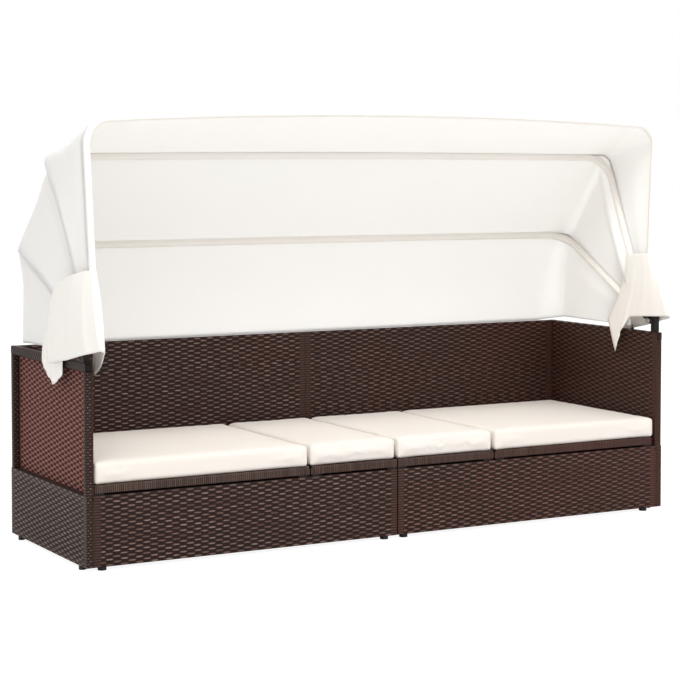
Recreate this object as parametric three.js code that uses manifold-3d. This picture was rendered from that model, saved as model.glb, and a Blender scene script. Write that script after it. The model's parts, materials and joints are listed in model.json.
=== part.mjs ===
// Outdoor daybed with a folding canopy: woven skins over square-tube frames, two seat boxes,
// four seat boards with cushions, two of them hinged as headrests, and a cover on three bows.
// Millimetres, +Z up, front towards -Y, +X to the right as seen from the front.

import * as THREE from 'three';
import * as BufferGeometryUtils from 'three/addons/utils/BufferGeometryUtils.js';
import Module from 'manifold-3d';

const wasm = await Module();
wasm.setup();

// Overall sizes
const overallWidth = 2000;
const overallDepth = 600;
const armTop = 581;
const glideHeight = 12;

// Stock and fits
const tube = 20;
const weave = 2.7;
const fit = 0.3;
const overrun = 2;
const armTopRail = 25;

// Seat boxes
const boxTop = 212;
const boxSideGap = 2;
const glideRadius = 12.5;
const armGlideRadius = 10;
const glideInset = 32;
const armGlideInset = 56;
const ledgePlate = 4;
const ledgeWidth = 24;
const ledgeDrop = 24;
const ledgeThickness = 6;
const notchDepth = 4;
const notchWidth = 16;
const roundSides = 12;

// Seat boards
const boardGap = 6;
const seamLeft = -298;
const seamRight = 349;
const seamMiddle = 0;
const backSeam = -5;
const seamGap = 4;
const hingeClearance = 8;
const boardEndGapLeft = 2.5;
const boardEndGapRight = 15;
const boardBackGap = 5;
const padLength = 30;
const padWidth = 16;
const hingeRodRadius = 3;
const hingeHoleRadius = 3.4;
const hingeLugRadius = 6.5;
const hingeLugThickness = 6;
const hingeSink = 3;
const hingePlaceShares = [-0.34, 0.34];
const wideBarShares = [0.24, 0.73];
const propPivotShare = 0.444;
const rodEndInset = 12;

// Headrest props
const propRadius = 7;
const propPinRadius = 4;
const propHoleRadius = 4.4;
const propPinLength = 24;
const propLugThickness = 6;
const propLugWidth = 20;
const propDrop = 19;
const propLegInset = 40;
const propFootOverhang = 28;
const headrestLift = 45;
const liftStepShares = [1 / 3, 5 / 9, 7 / 9, 1];

// Cushions
const cushionHeight = 57;
const cushionCrown = 7;
const cushionEdge = 24;
const cushionDraw = 5;
const cushionGap = 3;
const cushionFrontInset = 2;
const cushionBackGap = 4;
const cushionDrawPower = 4;
const cushionSteps = { long: 12, short: 8, deep: 10, high: 4 };
const unitCubeSide = 2;

// Canopy
const pivotBack = 24;
const pivotRise = 39;
const postSize = 19;
const postRise = 25;
const boltRadius = 4;
const boltHoleRadius = 4.5;
const boltHeadRadius = 8;
const boltHeadHeight = 5;
const boltHeadSkin = 1;
const nutSides = 6;
const nutHeight = 8;
const bowRadius = 7;
const bowSides = 10;
const legSteps = 3;
const cornerSteps = 5;
const topSteps = 10;
const flatThickness = 5;
const flatWidth = 14;
const flatReach = 65;
const flatTail = 10;
const jogReach = 90;
const legInset = 38;
const topInset = 17;
const bowCorner = 72;
const coverThickness = 2.4;
const coverClearance = 1.4;
const coverStart = 97;
const coverLip = 3;
const coverSeam = 0.4;
const topSag = 5;
const panelShares = [1 / 4, 1 / 2, 3 / 4];
const hemRise = 16;
const hemReach = 490;
const hemCornerRadius = 66;
const hemBackInset = 17;
const frontReach = 633;
const frontCrown = 24;
const middleReach = 590;
const middleCrown = 6;
const rearReach = 562;
const rearCrown = 4;
const bows = [
  { name: 'front_bow', lean: 0, reach: frontReach, crown: frontCrown, layer: 0 },
  { name: 'middle_bow', lean: 27, reach: middleReach, crown: middleCrown, layer: 1 },
  { name: 'rear_bow', lean: 62.5, reach: rearReach, crown: rearCrown, layer: 2 },
];

// Cover flaps at the front corners of the arms, with levels above or below the bows' pivot
const flapSeam = 0.3;
const flapOverhang = 13;
const flapCurl = 38;
const flapCurlShare = 0.3;
const flapFrontReach = 114;
const flapFrontTopRise = 242;
const flapRearTopRise = 188;
const flapTopFront = 13.5;
const flapTopRear = 68.5;
const flapRear = 206;
const flapFrontHemRise = 10;
const flapRearHemDrop = 57;
const flapPointDrop = 76;
const flapPointShare = 0.83;
const flapPointWidthShare = 0.14;
const flapWave = 4;
const flapWaveCount = 1.5;
const flapSteps = 8;

// Ties between the cover's hem and the arms
const tieBack = 140;
const tieButtonRadius = 6;
const tieButtonHeight = 4;
const tieStemRadius = 2.2;
const tieInset = 11;

// Worked-out levels and planes
const halfWidth = overallWidth / 2;
const front = -overallDepth / 2;
const rear = overallDepth / 2;
const skinned = tube + fit + weave;
const armInner = halfWidth - skinned;
const backFront = rear - skinned;
const boardBottom = boxTop + boardGap;
const deckTop = boardBottom + tube + fit + weave;
const frameFront = front + weave + fit;
const boxRear = backFront - fit;
const pivotY = front + pivotBack;
const pivotHeight = armTop + pivotRise;
const postTop = pivotHeight + postRise;
const hemHeight = armTop + hemRise;
const hemBack = rear - hemBackInset;
const legSpread = halfWidth - legInset;
const topSpread = halfWidth - topInset;
const originShift = (flapFrontReach - pivotBack) / 2;

// Materials
const material = (name, color, roughness, metalness = 0) => new THREE.MeshStandardMaterial({
  name, color, roughness, metalness,
});
const frameBrown = material('wrapped_frame', 0x3a2a24, 0.62);
const skinBrown = material('woven_skin', 0x4a352d, 0.62);
const deckBrown = material('woven_deck', 0x44312a, 0.62);
const steel = material('black_steel', 0x1f1d1c, 0.5, 0.6);
const zinc = material('zinc_steel', 0xa8a9aa, 0.4, 0.9);
const glideBlack = material('glide_plastic', 0x171514, 0.55);
const cream = material('cushion_cloth', 0xf3ece3, 0.9);
const coverWhite = material('cover_cloth', 0xf4f2ec, 0.85);

const daybed = new THREE.Group();
daybed.position.set(0, originShift, 0);

function addMesh(name, geometry, surface) {
  const mesh = new THREE.Mesh(geometry, surface);
  mesh.name = name;
  daybed.add(mesh);
  return mesh;
}

// A box from its lowest and highest corners
function block(low, high) {
  const size = high.map((value, axis) => value - low[axis]);
  const geometry = new THREE.BoxGeometry(...size);
  geometry.translate(...low.map((value, axis) => value + size[axis] / 2));
  return geometry;
}

// A round bar between two points that share all but one axis
function roundBar(from, to, radius, sides = roundSides) {
  const start = new THREE.Vector3(...from);
  const end = new THREE.Vector3(...to);
  const along = end.clone().sub(start);
  const geometry = new THREE.CylinderGeometry(radius, radius, along.length(), sides);
  const upright = new THREE.Vector3(0, 1, 0);
  const turn = new THREE.Quaternion().setFromUnitVectors(upright, along.clone().normalize());
  geometry.applyQuaternion(turn);
  const middle = start.add(end).multiplyScalar(1 / 2);
  geometry.translate(middle.x, middle.y, middle.z);
  return geometry;
}

function toSolid(geometry) {
  const bare = geometry.clone();
  bare.deleteAttribute('normal');
  bare.deleteAttribute('uv');
  const merged = BufferGeometryUtils.mergeVertices(bare);
  return new wasm.Manifold(new wasm.Mesh({
    numProp: 3,
    vertProperties: new Float32Array(merged.attributes.position.array),
    triVerts: new Uint32Array(merged.index.array),
  }));
}

function toGeometry(solid) {
  const mesh = solid.getMesh();
  const geometry = new THREE.BufferGeometry();
  geometry.setAttribute('position', new THREE.BufferAttribute(new Float32Array(mesh.vertProperties), 3));
  geometry.setIndex(new THREE.BufferAttribute(new Uint32Array(mesh.triVerts), 1));
  geometry.computeVertexNormals();
  return geometry;
}

// One solid from joined pieces, less the cut ones
function weld(pieces, cuts = []) {
  let solid = toSolid(pieces[0]);
  for (const piece of pieces.slice(1)) {
    solid = solid.add(toSolid(piece));
  }
  for (const cut of cuts) {
    solid = solid.subtract(toSolid(cut));
  }
  return toGeometry(solid);
}

// A closed sheet from rows of inner and outer points
function sheet(innerRows, outerRows) {
  const rowCount = innerRows.length;
  const columnCount = innerRows[0].length;
  const positions = [];
  for (const rows of [innerRows, outerRows]) {
    for (const row of rows) {
      for (const point of row) {
        positions.push(...point);
      }
    }
  }
  const place = (side, row, column) => (side * rowCount + row) * columnCount + column;
  const index = [];
  const quad = (a, b, c, d) => index.push(a, b, c, a, c, d);
  for (let row = 0; row < rowCount - 1; row += 1) {
    for (let column = 0; column < columnCount - 1; column += 1) {
      const corners = [[row, column], [row, column + 1], [row + 1, column + 1], [row + 1, column]];
      quad(...corners.map(([r, c]) => place(1, r, c)));
      quad(...corners.reverse().map(([r, c]) => place(0, r, c)));
    }
  }
  for (let column = 0; column < columnCount - 1; column += 1) {
    const last = rowCount - 1;
    quad(place(0, 0, column), place(0, 0, column + 1), place(1, 0, column + 1), place(1, 0, column));
    const next = column + 1;
    quad(place(1, last, column), place(1, last, next), place(0, last, next), place(0, last, column));
  }
  for (let row = 0; row < rowCount - 1; row += 1) {
    const last = columnCount - 1;
    quad(place(1, row, 0), place(1, row + 1, 0), place(0, row + 1, 0), place(0, row, 0));
    quad(place(0, row, last), place(0, row + 1, last), place(1, row + 1, last), place(1, row, last));
  }
  const geometry = new THREE.BufferGeometry();
  geometry.setAttribute('position', new THREE.Float32BufferAttribute(positions, 3));
  geometry.setIndex(index);
  geometry.computeVertexNormals();
  const solid = toSolid(geometry);
  if (solid.volume() < 0) {
    for (let i = 0; i < index.length; i += 3) {
      [index[i], index[i + 1]] = [index[i + 1], index[i]];
    }
    geometry.setIndex(index);
    geometry.computeVertexNormals();
  }
  return geometry;
}

// Arms: a ring frame with two panes, a full inner skin, and an outer skin in the lower pane
function addArm(side, sign) {
  const outer = sign * halfWidth;
  const tubeInner = sign * (halfWidth - tube);
  const between = (a, b) => [Math.min(a, b), Math.max(a, b)];
  const [frameLow, frameHigh] = between(outer, tubeInner);
  const slab = block([frameLow, front, glideHeight], [frameHigh, rear, armTop]);
  const pane = (low, high) => block(
    [frameLow - overrun, front + tube, low],
    [frameHigh + overrun, rear - tube, high],
  );
  const panes = [pane(glideHeight + tube, boxTop - tube), pane(boxTop, armTop - armTopRail)];
  addMesh(`${side}_arm_frame`, weld([slab], panes), frameBrown);

  const [skinLow, skinHigh] = between(sign * armInner, sign * (armInner + weave));
  addMesh(
    `${side}_arm_inner_skin`,
    block([skinLow, front, glideHeight], [skinHigh, rear, armTop]),
    skinBrown,
  );
  const [lowerLow, lowerHigh] = between(outer, sign * (halfWidth - weave));
  addMesh(
    `${side}_arm_outer_skin`,
    block(
      [lowerLow, front + tube + fit, glideHeight + tube + fit],
      [lowerHigh, rear - tube - fit, boxTop - tube - fit],
    ),
    skinBrown,
  );
  for (const [end, y] of [['front', front + armGlideInset], ['rear', rear - armGlideInset]]) {
    const x = sign * (halfWidth - armGlideRadius);
    addMesh(
      `${side}_arm_${end}_glide`,
      roundBar([x, y, 0], [x, y, glideHeight - fit], armGlideRadius),
      glideBlack,
    );
  }
}
addArm('left', -1);
addArm('right', 1);

// Back halves: a ring frame with one low pane and two upper panes, a front skin and a low rear skin
function addBack(side, low, high) {
  const middle = (low + high) / 2;
  const slab = block([low, rear - tube, glideHeight], [high, rear, armTop]);
  const pane = (x0, x1, z0, z1) => block([x0, rear - tube - overrun, z0], [x1, rear + overrun, z1]);
  const panes = [
    pane(low + tube, high - tube, glideHeight + tube, boxTop - tube),
    pane(low + tube, middle - tube / 2, boxTop, armTop - armTopRail),
    pane(middle + tube / 2, high - tube, boxTop, armTop - armTopRail),
  ];
  addMesh(`${side}_back_frame`, weld([slab], panes), frameBrown);
  addMesh(
    `${side}_back_front_skin`,
    block([low, backFront, glideHeight], [high, backFront + weave, armTop]),
    skinBrown,
  );
  addMesh(
    `${side}_back_rear_skin`,
    block(
      [low + tube + fit, rear - weave, glideHeight + tube + fit],
      [high - tube - fit, rear, boxTop - tube - fit],
    ),
    skinBrown,
  );
}
addBack('left', -armInner + fit, backSeam - fit);
addBack('right', backSeam + fit, armInner - fit);

// Seat boxes: a welded box frame with a cross frame under the hinge seam and notched prop ledges
const boxRailFrontInner = frameFront + tube;
const boxRailRearInner = boxRear - tube;
const hingeHeight = deckTop - hingeSink;
const propHeight = boardBottom - propDrop;
const ledgeTop = boxTop - ledgeDrop;

// The board's pivot and the foot's places, as distances from the hinge seam
function propLayout(seam, outerEnd) {
  const length = Math.abs(outerEnd - seam);
  const pivot = length * propPivotShare;
  const below = hingeHeight - propHeight;
  const lift = THREE.MathUtils.degToRad(headrestLift);
  const leg = pivot + below * (1 - Math.cos(lift)) / Math.sin(lift);
  const footAt = (angle) => {
    const turn = THREE.MathUtils.degToRad(angle);
    return (pivot + leg) * Math.cos(turn) + below * Math.sin(turn);
  };
  return { length, pivot, leg, footAt, direction: Math.sign(outerEnd - seam) };
}
const boardEnds = { left: -armInner + boardEndGapLeft, right: armInner - boardEndGapRight };
const seams = { left: seamLeft, right: seamRight };
const layouts = {
  left: propLayout(seamLeft, boardEnds.left),
  right: propLayout(seamRight, boardEnds.right),
};

function addBox(side, low, high) {
  const seam = seams[side];
  const layout = layouts[side];
  const rails = [];
  for (const bottom of [glideHeight, boxTop - tube]) {
    rails.push(block([low, frameFront, bottom], [high, boxRailFrontInner, bottom + tube]));
    rails.push(block([low, boxRailRearInner, bottom], [high, boxRear, bottom + tube]));
    for (const x of [low, seam - tube / 2, high - tube]) {
      rails.push(block([x, frameFront, bottom], [x + tube, boxRear, bottom + tube]));
    }
  }
  for (const x of [low, seam - tube / 2, high - tube]) {
    for (const y of [frameFront, boxRailRearInner]) {
      rails.push(block([x, y, glideHeight], [x + tube, y + tube, boxTop]));
    }
  }
  // The ledge runs from past the folded foot to inside the last notch
  const far = seam + layout.direction * (layout.footAt(0) + notchWidth);
  const near = seam + layout.direction * (layout.footAt(headrestLift) - notchWidth * 2);
  const ends = [Math.min(far, near), Math.max(far, near)];
  const bands = [
    [boxRailFrontInner - fit, boxRailFrontInner + ledgePlate, boxRailFrontInner + ledgeWidth],
    [boxRailRearInner + fit, boxRailRearInner - ledgePlate, boxRailRearInner - ledgeWidth],
  ];
  const cuts = [];
  for (const [wall, plate, lip] of bands) {
    const web = [Math.min(wall, plate), Math.max(wall, plate)];
    const shelf = [Math.min(wall, lip), Math.max(wall, lip)];
    rails.push(block([ends[0], web[0], ledgeTop - ledgeThickness], [ends[1], web[1], boxTop]));
    rails.push(block([ends[0], shelf[0], ledgeTop - ledgeThickness], [ends[1], shelf[1], ledgeTop]));
    const notch = [Math.min(plate, lip), Math.max(plate, lip)];
    for (const share of liftStepShares) {
      const x = seam + layout.direction * layout.footAt(headrestLift * share);
      cuts.push(block(
        [x - notchWidth / 2, notch[0] - overrun, ledgeTop - notchDepth],
        [x + notchWidth / 2, notch[1] + overrun, ledgeTop + overrun],
      ));
    }
  }
  addMesh(`${side}_box_frame`, weld(rails, cuts), frameBrown);
  addMesh(
    `${side}_box_front_skin`,
    block([low, front, glideHeight], [high, front + weave, boxTop]),
    skinBrown,
  );
  for (const [end, y] of [['front', frameFront + tube], ['rear', boxRear - tube]]) {
    for (const [corner, x] of [['outer', low + glideInset], ['inner', high - glideInset]]) {
      const place = side === 'left' ? corner : { outer: 'inner', inner: 'outer' }[corner];
      addMesh(
        `${side}_box_${end}_${place}_glide`,
        roundBar([x, y, 0], [x, y, glideHeight - fit], glideRadius),
        glideBlack,
      );
    }
  }
}
addBox('left', -armInner + fit, -boxSideGap);
addBox('right', boxSideGap, armInner - fit);

// Seat boards: a tube frame with cross bars and pads, and a woven deck with a wrapped front apron
const boardRear = backFront - boardBackGap;
const boardMiddleY = (frameFront + boardRear) / 2;
const boardSpanY = boardRear - frameFront;
const boxMiddleY = (frameFront + boxRear) / 2;
const propLegHalf = (boxRailRearInner - boxRailFrontInner) / 2 - propLegInset;

function hingeLugs(seam, direction, shift) {
  const pieces = [];
  const holes = [];
  for (const share of hingePlaceShares) {
    const y = boardMiddleY + share * boardSpanY + shift;
    const reach = seam + direction * (hingeClearance + overrun);
    const ends = [Math.min(seam, reach), Math.max(seam, reach)];
    const half = hingeLugThickness / 2;
    pieces.push(roundBar([seam, y - half, hingeHeight], [seam, y + half, hingeHeight], hingeLugRadius));
    pieces.push(block(
      [ends[0], y - half, hingeHeight - hingeLugRadius],
      [ends[1], y + half, boardBottom + tube],
    ));
    holes.push(roundBar([seam, y - tube, hingeHeight], [seam, y + tube, hingeHeight], hingeHoleRadius));
  }
  return { pieces, holes };
}

function addBoard(number, low, high, bars, lugs, prop) {
  const pieces = [
    block([low.frame, frameFront, boardBottom], [high.frame, frameFront + tube, boardBottom + tube]),
    block([low.frame, boardRear - tube, boardBottom], [high.frame, boardRear, boardBottom + tube]),
  ];
  for (const x of [low.frame, ...bars, high.frame - tube]) {
    pieces.push(block([x, frameFront, boardBottom], [x + tube, boardRear, boardBottom + tube]));
  }
  for (const x of [low.frame, high.frame - padLength]) {
    for (const y of [frameFront, boardRear - tube]) {
      pieces.push(block(
        [x, y + fit, boxTop + fit],
        [x + padLength, y + padWidth, boardBottom + overrun],
      ));
    }
  }
  const cuts = [...lugs.holes];
  pieces.push(...lugs.pieces);
  if (prop) {
    for (const sign of [-1, 1]) {
      const y = boxMiddleY + sign * (propLegHalf + propPinLength - propLugThickness);
      pieces.push(block(
        [prop - propLugWidth / 2, y - propLugThickness / 2, propHeight - propLugWidth / 2 + overrun],
        [prop + propLugWidth / 2, y + propLugThickness / 2, boardBottom + overrun],
      ));
      cuts.push(roundBar([prop, y - tube, propHeight], [prop, y + tube, propHeight], propHoleRadius));
    }
  }
  addMesh(`seat_board_${number}_frame`, weld(pieces, cuts), frameBrown);
  addMesh(
    `seat_board_${number}_deck`,
    weld([
      block([low.frame, front, boardBottom + tube + fit], [high.frame, boardRear, deckTop]),
      block([low.skin, front, boardBottom], [high.skin, front + weave, deckTop]),
    ]),
    deckBrown,
  );
}

const seamHalf = seamGap / 2;
const lugHalfStep = (hingeLugThickness + fit * 2) / 2;
const beside = (x) => ({ frame: x, skin: x });
const below = (seam) => ({ frame: seam - hingeClearance, skin: seam - seamHalf });
const above = (seam) => ({ frame: seam + hingeClearance, skin: seam + seamHalf });
const wideBars = (low, high) => wideBarShares.map((share) => low + (high - low) * share);

const leftPivotX = seamLeft - layouts.left.pivot;
const rightPivotX = seamRight + layouts.right.pivot;
addBoard(
  1, beside(boardEnds.left), below(seamLeft),
  [...wideBars(boardEnds.left, seamLeft), leftPivotX - tube / 2],
  hingeLugs(seamLeft, -1, -lugHalfStep), leftPivotX,
);
addBoard(
  2, above(seamLeft), beside(seamMiddle - seamHalf),
  [(seamLeft + seamMiddle) / 2 - tube / 2],
  hingeLugs(seamLeft, 1, lugHalfStep), null,
);
addBoard(
  3, beside(seamMiddle + seamHalf), below(seamRight),
  [(seamMiddle + seamRight) / 2 - tube / 2],
  hingeLugs(seamRight, -1, lugHalfStep), null,
);
addBoard(
  4, above(seamRight), beside(boardEnds.right),
  [...wideBars(seamRight, boardEnds.right), rightPivotX - tube / 2],
  hingeLugs(seamRight, 1, -lugHalfStep), rightPivotX,
);

// Hinge rods through the lugs, and the folding props
for (const side of ['left', 'right']) {
  const seam = seams[side];
  addMesh(
    `${side}_hinge_rod`,
    roundBar(
      [seam, frameFront + rodEndInset, hingeHeight],
      [seam, boardRear - rodEndInset, hingeHeight],
      hingeRodRadius,
    ),
    zinc,
  );
  const layout = layouts[side];
  const pivotX = seam + layout.direction * layout.pivot;
  const footX = pivotX + layout.direction * layout.leg;
  const pieces = [roundBar(
    [footX, boxMiddleY - propLegHalf - propFootOverhang, propHeight],
    [footX, boxMiddleY + propLegHalf + propFootOverhang, propHeight],
    propRadius,
  )];
  for (const sign of [-1, 1]) {
    const y = boxMiddleY + sign * propLegHalf;
    pieces.push(roundBar([pivotX, y, propHeight], [footX, y, propHeight], propRadius));
    pieces.push(roundBar(
      [pivotX, y - propRadius, propHeight],
      [pivotX, y + propRadius, propHeight],
      propRadius,
    ));
    pieces.push(roundBar(
      [pivotX, y, propHeight],
      [pivotX, y + sign * propPinLength, propHeight],
      propPinRadius,
    ));
  }
  addMesh(`${side}_headrest_prop`, weld(pieces), steel);
}

// Cushions: flat below, crowned above, with round edges and sides drawn in between the corners
function addCushion(number, low, high) {
  const width = high - low;
  const depthLow = front + cushionFrontInset;
  const depthHigh = backFront - cushionBackGap;
  const depth = depthHigh - depthLow;
  const steps = width > depth ? cushionSteps.long : cushionSteps.short;
  const half = [width / 2, depth / 2, cushionHeight / 2];
  const geometry = new THREE.BoxGeometry(
    unitCubeSide,
    unitCubeSide,
    unitCubeSide,
    steps,
    cushionSteps.deep,
    cushionSteps.high,
  );
  geometry.deleteAttribute('normal');
  geometry.deleteAttribute('uv');
  const closed = BufferGeometryUtils.mergeVertices(geometry);
  const position = closed.attributes.position;
  const point = new THREE.Vector3();
  const core = new THREE.Vector3();
  for (let i = 0; i < position.count; i += 1) {
    const shares = [position.getX(i), position.getY(i), position.getZ(i)];
    const eased = shares.map((share) => Math.sin(share * Math.PI / 2));
    point.set(...eased.map((share, axis) => share * half[axis]));
    core.set(...half.map((size, axis) => {
      const inner = size - cushionEdge;
      return THREE.MathUtils.clamp(point.getComponent(axis), -inner, inner);
    }));
    point.sub(core).normalize().multiplyScalar(cushionEdge).add(core);
    const acrossX = 1 - eased[0] ** 2;
    const acrossY = 1 - eased[1] ** 2;
    const rise = (point.z / cushionHeight) + 1 / 2;
    point.x -= Math.sign(shares[0]) * Math.abs(eased[0]) ** cushionDrawPower * acrossY * cushionDraw;
    point.y -= Math.sign(shares[1]) * Math.abs(eased[1]) ** cushionDrawPower * acrossX * cushionDraw;
    point.z += rise * cushionCrown * acrossX ** (1 / 2) * acrossY ** (1 / 2);
    position.setXYZ(i, point.x, point.y, point.z);
  }
  closed.translate((low + high) / 2, (depthLow + depthHigh) / 2, deckTop + fit + cushionHeight / 2);
  closed.computeVertexNormals();
  addMesh(`cushion_${number}`, closed, cream);
}
const cushionHalfGap = cushionGap / 2;
addCushion(1, -armInner + cushionHalfGap, seamLeft - cushionHalfGap);
addCushion(2, seamLeft + cushionHalfGap, seamMiddle - cushionHalfGap);
addCushion(3, seamMiddle + cushionHalfGap, seamRight - cushionHalfGap);
addCushion(4, seamRight + cushionHalfGap, armInner - cushionHalfGap);

// Canopy posts and pivot bolts
const postInner = halfWidth - (tube + postSize) / 2;
const postOuter = postInner + postSize;
const layerX = (layer) => postInner - fit - layer * (flatThickness + fit) - flatThickness / 2;
const stackInner = layerX(bows.length - 1) - flatThickness / 2;
function addPost(side, sign) {
  const low = Math.min(sign * postInner, sign * postOuter);
  addMesh(
    `${side}_canopy_post`,
    weld(
      [block(
        [low, pivotY - postSize / 2, armTop + fit],
        [low + postSize, pivotY + postSize / 2, postTop],
      )],
      [roundBar(
        [low - overrun, pivotY, pivotHeight],
        [low + postSize + overrun, pivotY, pivotHeight],
        boltHoleRadius,
      )],
    ),
    steel,
  );
  const headFrom = sign * (postOuter + fit);
  const headTo = sign * (postOuter + fit + boltHeadHeight);
  const shankEnd = sign * (stackInner - fit - nutHeight - overrun);
  addMesh(
    `${side}_pivot_bolt`,
    weld([
      roundBar([headFrom, pivotY, pivotHeight], [headTo, pivotY, pivotHeight], boltHeadRadius),
      roundBar(
        [shankEnd, pivotY, pivotHeight],
        [headTo - sign * boltHeadSkin, pivotY, pivotHeight],
        boltRadius,
      ),
    ]),
    zinc,
  );
  const nutFrom = sign * (stackInner - fit);
  const nutTo = sign * (stackInner - fit - nutHeight);
  addMesh(
    `${side}_pivot_nut`,
    weld(
      [roundBar(
        [nutFrom, pivotY, pivotHeight],
        [nutTo, pivotY, pivotHeight],
        boltHeadRadius,
        nutSides,
      )],
      [roundBar(
        [nutFrom + sign * overrun, pivotY, pivotHeight],
        [nutTo - sign * overrun, pivotY, pivotHeight],
        boltRadius + fit,
      )],
    ),
    zinc,
  );
}
addPost('left', -1);
addPost('right', 1);

// A bow's line in its own plane: x across and r away from the pivot, grown outward by offset
const bowSteps = 2 * (legSteps + cornerSteps) + topSteps;
function spreadAt(bow, r) {
  const share = THREE.MathUtils.clamp((r - jogReach) / (bow.reach - bowCorner - jogReach), 0, 1);
  return THREE.MathUtils.lerp(legSpread, topSpread, share);
}
function bowPoint(bow, step, offset, start) {
  const mirrored = step > bowSteps / 2;
  const k = mirrored ? bowSteps - step : step;
  const legEnd = bow.reach - bowCorner;
  let x;
  let r;
  if (k <= legSteps) {
    r = THREE.MathUtils.lerp(start, legEnd, k / legSteps);
    x = spreadAt(bow, r) + offset;
  } else if (k <= legSteps + cornerSteps) {
    const turn = (k - legSteps) / cornerSteps * Math.PI / 2;
    x = topSpread - bowCorner + (bowCorner + offset) * Math.cos(turn);
    r = legEnd + (bowCorner + offset) * Math.sin(turn);
  } else {
    const share = 1 - (k - legSteps - cornerSteps) / (topSteps / 2);
    x = (topSpread - bowCorner) * share;
    r = bow.reach + offset + bow.crown * (1 - share ** 2);
  }
  return [mirrored ? x : -x, r];
}
function leanPoint(lean, x, r, forward = 0) {
  const angle = THREE.MathUtils.degToRad(lean);
  return [
    x,
    pivotY + r * Math.sin(angle) - forward * Math.cos(angle),
    pivotHeight + r * Math.cos(angle) + forward * Math.sin(angle),
  ];
}

// The curve that a bow's round tube follows, with its points kept where the shape needs them
class BowCurve extends THREE.Curve {
  constructor(bow) {
    super();
    this.bow = bow;
  }

  getPoint(t, target = new THREE.Vector3()) {
    const step = t * bowSteps;
    const whole = Math.min(Math.floor(step), bowSteps - 1);
    const [x0, r0] = bowPoint(this.bow, whole, 0, jogReach);
    const [x1, r1] = bowPoint(this.bow, whole + 1, 0, jogReach);
    const share = step - whole;
    return target.set(THREE.MathUtils.lerp(x0, x1, share), 0, THREE.MathUtils.lerp(r0, r1, share));
  }

  getPointAt(u, target) {
    return this.getPoint(u, target);
  }

  getTangentAt(u, target = new THREE.Vector3()) {
    const step = 1 / bowSteps / 2;
    const before = this.getPoint(Math.max(u - step, 0));
    const after = this.getPoint(Math.min(u + step, 1));
    return target.copy(after).sub(before).normalize();
  }
}

function addBow(bow) {
  const ring = new THREE.Shape();
  for (let i = 0; i < bowSides; i += 1) {
    const angle = i / bowSides * Math.PI * 2;
    const place = [bowRadius * Math.cos(angle), bowRadius * Math.sin(angle)];
    if (i === 0) {
      ring.moveTo(...place);
    } else {
      ring.lineTo(...place);
    }
  }
  ring.closePath();
  const pieces = [new THREE.ExtrudeGeometry(ring, {
    steps: bowSteps,
    extrudePath: new BowCurve(bow),
    curveSegments: 1,
  })];
  const cuts = [];
  for (const sign of [-1, 1]) {
    const x = layerX(bow.layer);
    const half = flatThickness / 2;
    const outline = new THREE.Shape([
      new THREE.Vector2(x - half, -flatTail),
      new THREE.Vector2(x + half, -flatTail),
      new THREE.Vector2(x + half, flatReach),
      new THREE.Vector2(legSpread + half, jogReach),
      new THREE.Vector2(legSpread + half, jogReach + bowRadius),
      new THREE.Vector2(legSpread - half, jogReach + bowRadius),
      new THREE.Vector2(legSpread - half, jogReach),
      new THREE.Vector2(x - half, flatReach),
    ]);
    const flat = new THREE.ExtrudeGeometry(outline, { depth: flatWidth, bevelEnabled: false });
    flat.translate(0, 0, -flatWidth / 2);
    flat.rotateX(Math.PI / 2);
    if (sign < 0) {
      flat.rotateZ(Math.PI);
    }
    pieces.push(flat);
    cuts.push(roundBar(
      [sign * (x - flatThickness), 0, 0],
      [sign * (x + flatThickness), 0, 0],
      boltHoleRadius,
    ));
  }
  const geometry = weld(pieces, cuts);
  const mesh = addMesh(bow.name, geometry, steel);
  mesh.position.set(0, pivotY, pivotHeight);
  mesh.rotation.x = -THREE.MathUtils.degToRad(bow.lean);
}
bows.forEach(addBow);

// The cover: three panels between the bows and the hem, each a closed sheet
const coverInner = bowRadius + coverClearance;
const coverOuter = coverInner + coverThickness;
function bowRow(bow, offset, forward) {
  const row = [];
  for (let step = 0; step <= bowSteps; step += 1) {
    const [x, r] = bowPoint(bow, step, offset, coverStart);
    row.push(leanPoint(bow.lean, x, r, forward));
  }
  return row;
}
function hemRow(offset) {
  const row = [];
  const side = bows[bows.length - 1];
  const hemLean = Math.acos((hemHeight - pivotHeight) / hemReach);
  for (let step = 0; step <= bowSteps; step += 1) {
    const mirrored = step > bowSteps / 2;
    const k = mirrored ? bowSteps - step : step;
    const cornerY = hemBack - hemCornerRadius;
    let x;
    let y;
    let z = hemHeight;
    if (k <= legSteps) {
      const along = THREE.MathUtils.lerp(coverStart, cornerY - pivotY, k / legSteps);
      x = spreadAt(side, along) + offset;
      y = pivotY + along * Math.sin(hemLean);
    } else if (k <= legSteps + cornerSteps) {
      const share = (k - legSteps) / cornerSteps;
      const turn = share * Math.PI / 2;
      x = topSpread - hemCornerRadius + (hemCornerRadius + offset) * Math.cos(turn);
      y = cornerY + (hemCornerRadius + offset) * Math.sin(turn);
      z = THREE.MathUtils.lerp(hemHeight, armTop + fit * 2, share);
    } else {
      const share = 1 - (k - legSteps - cornerSteps) / (topSteps / 2);
      x = (topSpread - hemCornerRadius) * share;
      y = hemBack + offset;
      z = armTop + fit * 2;
    }
    row.push([mirrored ? x : -x, y, z]);
  }
  return row;
}
function blendRows(first, last, share, sag) {
  const bulge = sag * 4 * share * (1 - share);
  return first.map((point, column) => point.map((value, axis) => {
    const straight = THREE.MathUtils.lerp(value, last[column][axis], share);
    return axis === 2 && column > legSteps && column < bowSteps - legSteps ? straight - bulge : straight;
  }));
}
function addPanel(name, rowsAt) {
  addMesh(name, sheet(rowsAt(coverInner), rowsAt(coverOuter)), coverWhite);
}
const [frontBow, middleBow, rearBow] = bows;
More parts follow.
